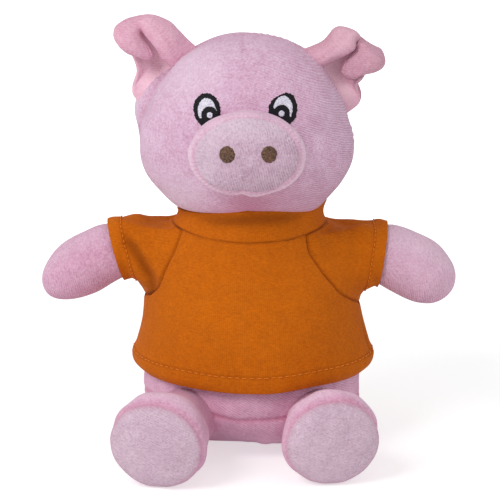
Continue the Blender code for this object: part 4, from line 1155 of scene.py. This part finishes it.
snout_pink = velour("snout_velour", dye(232, 197, 217), dye(208, 164, 187), ribs=0.2)
pad_velour = velour(
    "pad_velour", pad_grey, pad_shade,
    centre=(-0.001, 0, 0.1315), rows=(6400, 0, 1500), ribs=0.35, rake=(12, 0, -20), bump=1.0,
)
snout_angles = around(300)[None]
shaded_top = 1 - 0.8 * near(np.sin(snout_angles), 0.1, 0.7)
snout_at = np.linspace(0, 1, 70)
snout_depth = snout_root_y + (snout_rim_y - snout_root_y) * snout_at
snout_scale = through(snout_depth_shares, snout_size_shares, snout_at)
snout_side = snout_rings(snout_depth, snout_scale)
snout_gathers = np.sin(66 * snout_angles + 2 * np.sin(3 * snout_angles)) * near(snout_at[:, None], 0.8, 0.97)
snout_relief = pile_lumps * 0.5 * lumps(snout_side, 0.012, 81) + snout_gather_depth * snout_gathers
snout_side = snout_side + outward(snout_side) * snout_relief[..., None]
snout_inner = snout_rings(snout_depth, snout_scale - snout_wall_share)
# Painted light on the band, mostly on its lower half as the top's mask allows: a highlight towards the rim,
# painted shade at the rim's seam and at the root.
snout_tint = 0.35 * near(snout_at, 0.55, 0.8) - 0.55 * near(snout_at, 0.93, 1.0)
snout_tint = (snout_tint - 0.25 * fading(snout_at, 0.1, 0.4))[:, None] * shaded_top
snout_tube = np.concatenate([snout_side, snout_inner[::-1]])
snout_band = sewn("snout_band_velour", *skin(snout_tube, tube=True), snout_pink, tint=snout_tint)
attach(snout_band, "head")
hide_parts("snout_band", "snout_stuffing")


def pad_bulge(share):
    """How far the pad stands out: a dome, with its edge turned in to the seam."""
    return pad_dome * (1 - share**2.4) + pad_edge * (1 - share**16)


pad_shares = np.sin(np.linspace(0, 1, 80) * math.pi / 2)[::-1]
pad_depth = snout_rim_y + pad_inset - pad_bulge(pad_shares)
pad_front = snout_rings(pad_depth, np.maximum(pad_share * pad_shares, 0.004))
pad_gathers = np.sin(58 * snout_angles + 3 * np.sin(4 * snout_angles)) * near(pad_shares[:, None], 0.6, 0.95)
pad_relief = pad_gather_depth * pad_gathers + pile_lumps * 0.5 * lumps(pad_front, 0.009, 83)
pad_front = pad_front - np.array((0, 1, 0)) * pad_relief[..., None]
pad_rear = snout_rings(np.full(16, snout_rim_y + pad_rear_inset), np.linspace(0.02, pad_share - 0.03, 16))
pad = np.concatenate([pad_rear, pad_front])
# Painted light over the pad's top and its right side, and painted shade along its seam, mostly below.
pad_lit = near(pad[..., 2], 0.132, 0.143)
pad_right = near(-pad[..., 0], 0.008, 0.018) * (1 - pad_lit)
pad_tint = np.concatenate([np.zeros(len(pad_rear)), -0.3 * groove(pad_shares - 1.0, 0.025)])
pad_tint = pad_tint[:, None] * shaded_top + 0.35 * pad_lit + 0.25 * pad_right
snout_pad = sewn("snout_pad_velour", *skin(pad), pad_velour, tint=pad_tint)
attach(snout_pad, "head")
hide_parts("snout_pad")

# Nostrils
# Two ovals of brown thread, embroidered through the pad in short crossing stitches, so that the
# pile parts round their edges.
nostril_spread, nostril_shift, nostril_rise = 0.0081, 0.0004, 0.0014
nostril_half_width, nostril_half_height = 0.0031, 0.0034
nostril_height = 0.0006
brown, brown_shade = dye(122, 88, 66), dye(36, 22, 18)


def on_pad(across, up):
    """The depth of the pad's surface at a place in the front view."""
    x = np.abs(across - snout_centre[0]) / snout_half_width
    z = np.abs(up - snout_centre[1]) / snout_half_height
    full = np.where(up > snout_centre[1], snout_fullness["upper"], snout_fullness["lower"])
    scale = (x ** (2 / full) + z ** (2 / full)) ** (full / 2)
    return snout_rim_y + pad_inset - pad_bulge(np.clip(scale / pad_share, 0, 1))


def jagged(angles, size, seed):
    """Small steps along an embroidered edge, where stitches end: noise held over short spans."""
    draw = np.random.default_rng(seed)
    steps = draw.uniform(-1, 1, 75)
    at = (angles + math.pi) / (2 * math.pi) * len(steps)
    low = np.floor(at).astype(int) % len(steps)
    blend = near(at - np.floor(at), 0.35, 0.65)
    return size * (steps[low] * (1 - blend) + steps[(low + 1) % len(steps)] * blend)


def oval(across, up, half_width, half_height, edge, angles, shrink):
    """Rings of an oval from its jagged edge to its middle: half sizes times cosine and sine."""
    reach = (1 + edge) * shrink[:, None]
    return across + half_width * reach * np.cos(angles), up + half_height * reach * np.sin(angles)


def embroidery(name, across, up, surface, height, material):
    """A raised patch over a grid in the front view: its top swells to the height between its edges.

    The grid's first ring is the patch's edge and its last one its middle.
    """
    share = np.linspace(0, 1, across.shape[0])[:, None]
    front = places(across, surface(across, up) - height * (1 - (1 - share) ** 6), up)
    back = places(across, surface(across, up) + height, up)[:2]
    return sewn(name, *skin(np.concatenate([back[::-1][:1], back[:1], front])), material)


brown_thread = thread("brown_thread", brown, brown_shade, 1500.0)
ring_angles = around(150)[None]
shrink = np.linspace(1, 0.01, 40)
for side, label in both_sides:
    nostril_x = snout_centre[0] + nostril_shift + side * nostril_spread
    nostril_z = snout_centre[1] + nostril_rise
    edge = jagged(ring_angles, 0.05, 91 + side)
    patch = oval(nostril_x, nostril_z, nostril_half_width, nostril_half_height, edge, ring_angles, shrink)
    nostril = embroidery(f"nostril_{label}_thread", *patch, on_pad, nostril_height, brown_thread)
    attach(nostril, "head")
    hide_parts(f"nostril_{label}")

# Eyes
# Each eye is embroidered on the face panel: a black oval with a white crescent round the upper
# side of the pupil and a small white glint, its lower edge tucked under the snout.
eye_middle_mm = {"left": (13.0, 145.8), "right": (-17.0, 145.1)}
eye_half_width = {"left": 0.0057, "right": 0.0054}
eye_half_height = {"left": 0.0068, "right": 0.0066}
eye_rim = 0.0019
pupil_radius = 0.0033
pupil_inward = {"left": 0.0006, "right": 0.0012}
pupil_drop = 0.0017
crescent_outer_deg, crescent_inner_deg = (-38, 169), (-20, 147)
glint_radius = 0.0014
black_height, white_height = 0.0005, 0.00072
snout_root_share = 0.93


def clear_of_snout(across, up):
    """Move places that lie within the snout's root out to its edge."""
    x, z = across - snout_centre[0], up - snout_centre[1]
    power = 2 / snout_fullness["upper"]
    x_share = np.abs(x / (snout_half_width * snout_root_share))
    z_share = np.abs(z / (snout_half_height * snout_root_share))
    grow = np.maximum(1, (x_share**power + z_share**power) ** (-1 / power))
    return snout_centre[0] + x * grow, snout_centre[1] + z * grow


black_thread = thread("black_thread", dye(30, 29, 34), dye(4, 4, 6), 2200.0, shine=0.12)
white_thread = thread("white_thread", dye(244, 242, 249), dye(174, 168, 192), 1900.0)
for side, label in both_sides:
    eye_x, eye_z = np.array(eye_middle_mm[label]) * mm
    half_width, half_height, inward = eye_half_width[label], eye_half_height[label], pupil_inward[label]
    ring_angles = around(240)[None]
    edge = jagged(ring_angles, 0.035, 101 + side)
    patch = oval(eye_x, eye_z, half_width, half_height, edge, ring_angles, np.linspace(1, 0.01, 50))
    black = embroidery(
        f"eye_black_{label}_thread", *clear_of_snout(*patch), on_face, black_height, black_thread
    )
    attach(black, "head")
    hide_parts(f"eye_black_{label}")

    outer_angle = np.radians(np.linspace(*crescent_outer_deg, 90))[None]
    inner_angle = np.radians(np.linspace(*crescent_inner_deg, 90))[None]
    fringe = 1 + jagged(outer_angle - 1, 0.04, 111 + side)
    outer_x = (half_width - eye_rim) * fringe * np.cos(outer_angle)
    outer_z = (half_height - eye_rim) * fringe * np.sin(outer_angle)
    inner_x = -inward + pupil_radius * fringe * np.cos(inner_angle)
    inner_z = -pupil_drop + pupil_radius * fringe * np.sin(inner_angle)
    across_share = np.linspace(0, 1, 16)[:, None]
    crescent_x = eye_x + side * (outer_x + (inner_x - outer_x) * across_share)
    crescent_z = eye_z + outer_z + (inner_z - outer_z) * across_share
    base_y = on_face(crescent_x, crescent_z)
    swell = black_height + (white_height - black_height) * (4 * across_share * (1 - across_share)) ** 0.4
    upper = places(crescent_x, base_y - swell, crescent_z)
    lower = places(crescent_x, base_y - black_height * 0.5, crescent_z)
    crescent_rings = np.concatenate([upper, lower[::-1]]).transpose(1, 0, 2)
    white = sewn(f"eye_white_{label}_thread", *skin(crescent_rings), white_thread)
    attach(white, "head")
    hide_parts(f"eye_white_{label}")

    ring_angles = around(60)[None]
    edge = jagged(ring_angles, 0.16, 121 + side)
    glint_x, glint_z = eye_x - side * inward, eye_z - pupil_drop
    patch = oval(glint_x, glint_z, glint_radius, glint_radius, edge, ring_angles, np.linspace(1, 0.02, 12))
    glint = embroidery(f"eye_glint_{label}_thread", *patch, on_face, white_height, white_thread)
    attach(glint, "head")
    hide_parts(f"eye_glint_{label}")

# Ears
# Each ear is two layers of velour sewn along its edge and turned. It is pleated into the crown
# seam, so that its upper edge rolls forward in a thick rim, and its tip flops over to the front.
# The tables go from the base to the tip, each row from the lower edge, round the back of the
# upper fold and forward to the rolled rim.
ear_leaf_mm = {
    "right": (
        ((-44.6, 1.5, 139.5), (-39.8, 0.5, 146.7), (-35.2, 0.5, 154.6), (-28.8, 1.5, 161.1),
         (-22.8, 0.5, 165.5), (-27.6, -1.4, 162.2), (-33.0, -2.0, 157.9)),
        ((-48.2, 3.0, 145.9), (-44.8, 4.0, 150.9), (-38.4, 5.0, 156.7), (-32.5, 5.0, 162.4),
         (-26.6, 2.0, 167.8), (-30.2, -2.5, 164.8), (-35.6, -4.0, 160.9)),
        ((-46.2, 2.0, 155.7), (-43.8, 4.0, 157.7), (-39.9, 6.0, 160.8), (-34.8, 6.0, 166.5),
         (-30.0, 2.0, 171.2), (-32.5, -3.0, 168.6), (-38.3, -6.0, 165.7)),
        ((-50.4, 2.0, 166.0), (-48.7, 3.5, 168.0), (-44.8, 5.0, 170.1), (-39.3, 5.0, 173.5),
         (-33.8, 1.0, 175.0), (-36.2, -3.0, 172.6), (-42.1, -6.0, 170.4)),
        ((-54.2, 0.0, 172.2), (-52.4, 1.0, 173.9), (-49.2, 2.0, 175.7), (-44.7, 2.0, 176.9),
         (-41.3, 0.0, 177.3), (-41.1, -3.0, 175.5), (-44.4, -5.0, 173.4)),
        ((-54.9, -4.0, 170.4), (-53.6, -5.5, 170.8), (-51.5, -6.5, 172.3), (-48.2, -6.5, 172.6),
         (-46.0, -5.5, 172.5), (-45.3, -4.0, 171.7), (-44.9, -3.0, 171.0)),
        ((-52.6, -5.0, 166.7), (-51.0, -7.0, 166.2), (-49.2, -8.0, 166.5), (-46.4, -8.0, 166.2),
         (-44.0, -6.5, 165.7), (-42.2, -5.0, 165.2), (-40.8, -3.5, 165.0)),
        ((-48.3, -4.0, 163.2), (-46.9, -5.0, 162.6), (-44.9, -5.5, 162.0), (-43.2, -6.0, 161.3),
         (-41.9, -5.5, 160.7), (-40.5, -4.5, 160.8), (-38.9, -3.5, 162.9)),
    ),
    "left": (
        ((41.2, 1.0, 137.2), (37.4, 0.3, 144.9), (34.4, 0.5, 152.0), (28.9, 1.5, 160.9),
         (23.0, 0.5, 165.6), (27.1, -1.4, 162.6), (31.1, -2.0, 158.6)),
        ((45.0, 2.0, 142.4), (43.3, 3.0, 147.8), (39.6, 5.0, 152.7), (32.6, 4.0, 163.2),
         (29.0, 1.0, 166.1), (31.5, -3.0, 163.4), (34.6, -5.0, 160.5)),
        ((43.7, 0.0, 149.3), (42.5, 2.0, 151.3), (39.8, 4.0, 156.4), (34.9, 4.0, 168.8),
         (32.5, 1.0, 169.0), (34.5, -4.0, 166.6), (38.8, -7.0, 162.8)),
        ((45.9, 0.0, 152.3), (45.7, 2.0, 156.7), (42.8, 3.0, 162.6), (37.9, 3.0, 171.5),
         (35.1, 0.5, 172.0), (37.0, -4.0, 170.7), (42.3, -7.5, 165.3)),
        ((52.5, -1.0, 163.8), (49.9, 0.0, 164.7), (46.5, 1.0, 166.8), (42.7, 1.0, 170.0),
         (40.1, 0.0, 171.4), (41.1, -3.5, 170.1), (42.9, -5.5, 168.3)),
        ((54.6, -4.0, 160.8), (52.2, -6.0, 162.0), (49.3, -7.0, 163.6), (46.7, -6.5, 165.0),
         (44.8, -5.0, 165.7), (43.9, -4.0, 165.5), (43.4, -3.0, 164.8)),
        ((53.7, -5.0, 157.8), (51.0, -7.5, 158.2), (47.8, -8.0, 158.8), (44.7, -7.0, 159.6),
         (41.9, -5.0, 160.2), (39.9, -4.0, 159.4), (38.2, -3.0, 158.7)),
        ((49.1, -4.5, 155.5), (46.8, -5.5, 155.3), (44.7, -6.0, 154.3), (43.0, -5.5, 153.0),
         (41.0, -4.5, 152.6), (39.0, -3.5, 153.0), (36.8, -2.5, 155.2)),
    ),
}
ear_half_thickness = 0.0011
ear_rim_swell = 0.0021
ear_pucker_place, ear_pucker_width, ear_pucker_depth = 0.76, 0.045, 0.0004
ear_rim_from, ear_rim_round, ear_rim_end = 0.80, 0.20, (0.58, 0.72)
ear_fold_place, ear_fold_width, ear_fold_shade = -0.38, 0.16, 0.40
ear_tuck = 0.0014
ear_rows, ear_columns = 110, 90
# Painted light: the highlights of the tip, the hollow and the rim turn the ear towards pale pink, and the
# pig's left ear has darker colours than its right, as painted shade on the side away from the lamp.
ear_tip_highlight = {"left": 0.1, "right": 0.06}
ear_hollow_highlight = 0.88
ear_rim_highlight = {"left": 0.40, "right": 0.22}
ear_highlight_pink = dye(255, 215, 229)
ear_lit_and_shaded_colours = {
    "left": (dye(211, 164, 182), dye(188, 129, 149)),
    "right": (dye(232, 184, 204), dye(211, 148, 171)),
}

for side, label in both_sides:
    leaf = np.array(ear_leaf_mm[label]) * mm
    base = leaf[0] - head_centre
    base_angle = np.arctan2(base[:, 2], base[:, 0])
    base_reach = np.minimum(np.hypot(base[:, 0], base[:, 2]), head_reach(base_angle) - ear_tuck)
    leaf[0, :, 0] = head_centre[0] + base_reach * np.cos(base_angle)
    leaf[0, :, 2] = head_centre[2] + base_reach * np.sin(base_angle)
    rows, columns = leaf.shape[:2]
    leaf = through(np.linspace(0, 1, rows), leaf, np.linspace(0, 1, ear_rows)).transpose(1, 0, 2)
    leaf = through(np.linspace(0, 1, columns), leaf, np.linspace(0, 1, ear_columns)).transpose(1, 0, 2)
    leaf_out = unit(np.cross(np.gradient(leaf, axis=0), np.gradient(leaf, axis=1)))
    across = np.linspace(-1, 1, ear_columns)[None]
    along = np.linspace(0, 1, ear_rows)[:, None]
    full = (1 - across**10) ** 0.5 * (1 - near(along, 0.9, 1.0) ** 4) ** 0.5
    rolled = np.sqrt(1 - (np.maximum(across - ear_rim_from, 0) / ear_rim_round) ** 2)
    rolled = rolled * near(across, 0.25, ear_rim_from) * fading(along, *ear_rim_end)
    pucker = groove(across - ear_pucker_place, ear_pucker_width) * (0.7 + 0.3 * np.sin(along * 150))
    thick = ear_half_thickness + ear_rim_swell * rolled - ear_pucker_depth * pucker
    thick = np.maximum(thick * (0.8 + 0.2 * near(along, 0.0, 0.2)) * full, 0.00002)[..., None]
    ear_rings = np.concatenate([leaf + leaf_out * thick, (leaf - leaf_out * thick)[:, ::-1]], axis=1)

    # Painted light on the ear: a highlight along the rolled rim, over the tip, in the hollow and beside the
    # rim inside, and painted shade in the puckers and in the inner fold.
    outer_tint = ear_rim_highlight[label] * rolled - 0.14 * pucker * fading(along, 0.5, 0.6)
    outer_tint = outer_tint + ear_tip_highlight[label] * near(along, 0.55, 0.75)
    inner_highlight = ear_hollow_highlight * fading(along, 0.35, 0.55) * fading(across, 0.2, 0.65)
    inner_highlight = inner_highlight * (1 - 0.5 * fading(across, -0.9, -0.5))
    inner_fold = groove(across - ear_fold_place - 0.06 * np.sin(along * 9), ear_fold_width)
    inner_fold = inner_fold * fading(along, 0.45, 0.6)
    inner_rim = groove(across - 0.35, 0.3) * fading(along, *ear_rim_end)
    inner_tint = outer_tint + inner_highlight - ear_fold_shade * inner_fold + 0.25 * inner_rim
    inner_first = leaf_out[:60, :, 1].mean() < 0
    first, second = (inner_tint, outer_tint) if inner_first else (outer_tint, inner_tint)
    ear_tint = np.concatenate([first, second[:, ::-1]], axis=1)
    ear_pink = velour(f"ear_velour_{label}", *ear_lit_and_shaded_colours[label], ribs=0.3, highlight=ear_highlight_pink)
    ear = sewn(f"ear_{label}_velour", *skin(ear_rings), ear_pink, tint=ear_tint)
    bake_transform(ear)
    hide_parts(f"ear_front_panel_{label}", f"ear_back_panel_{label}")
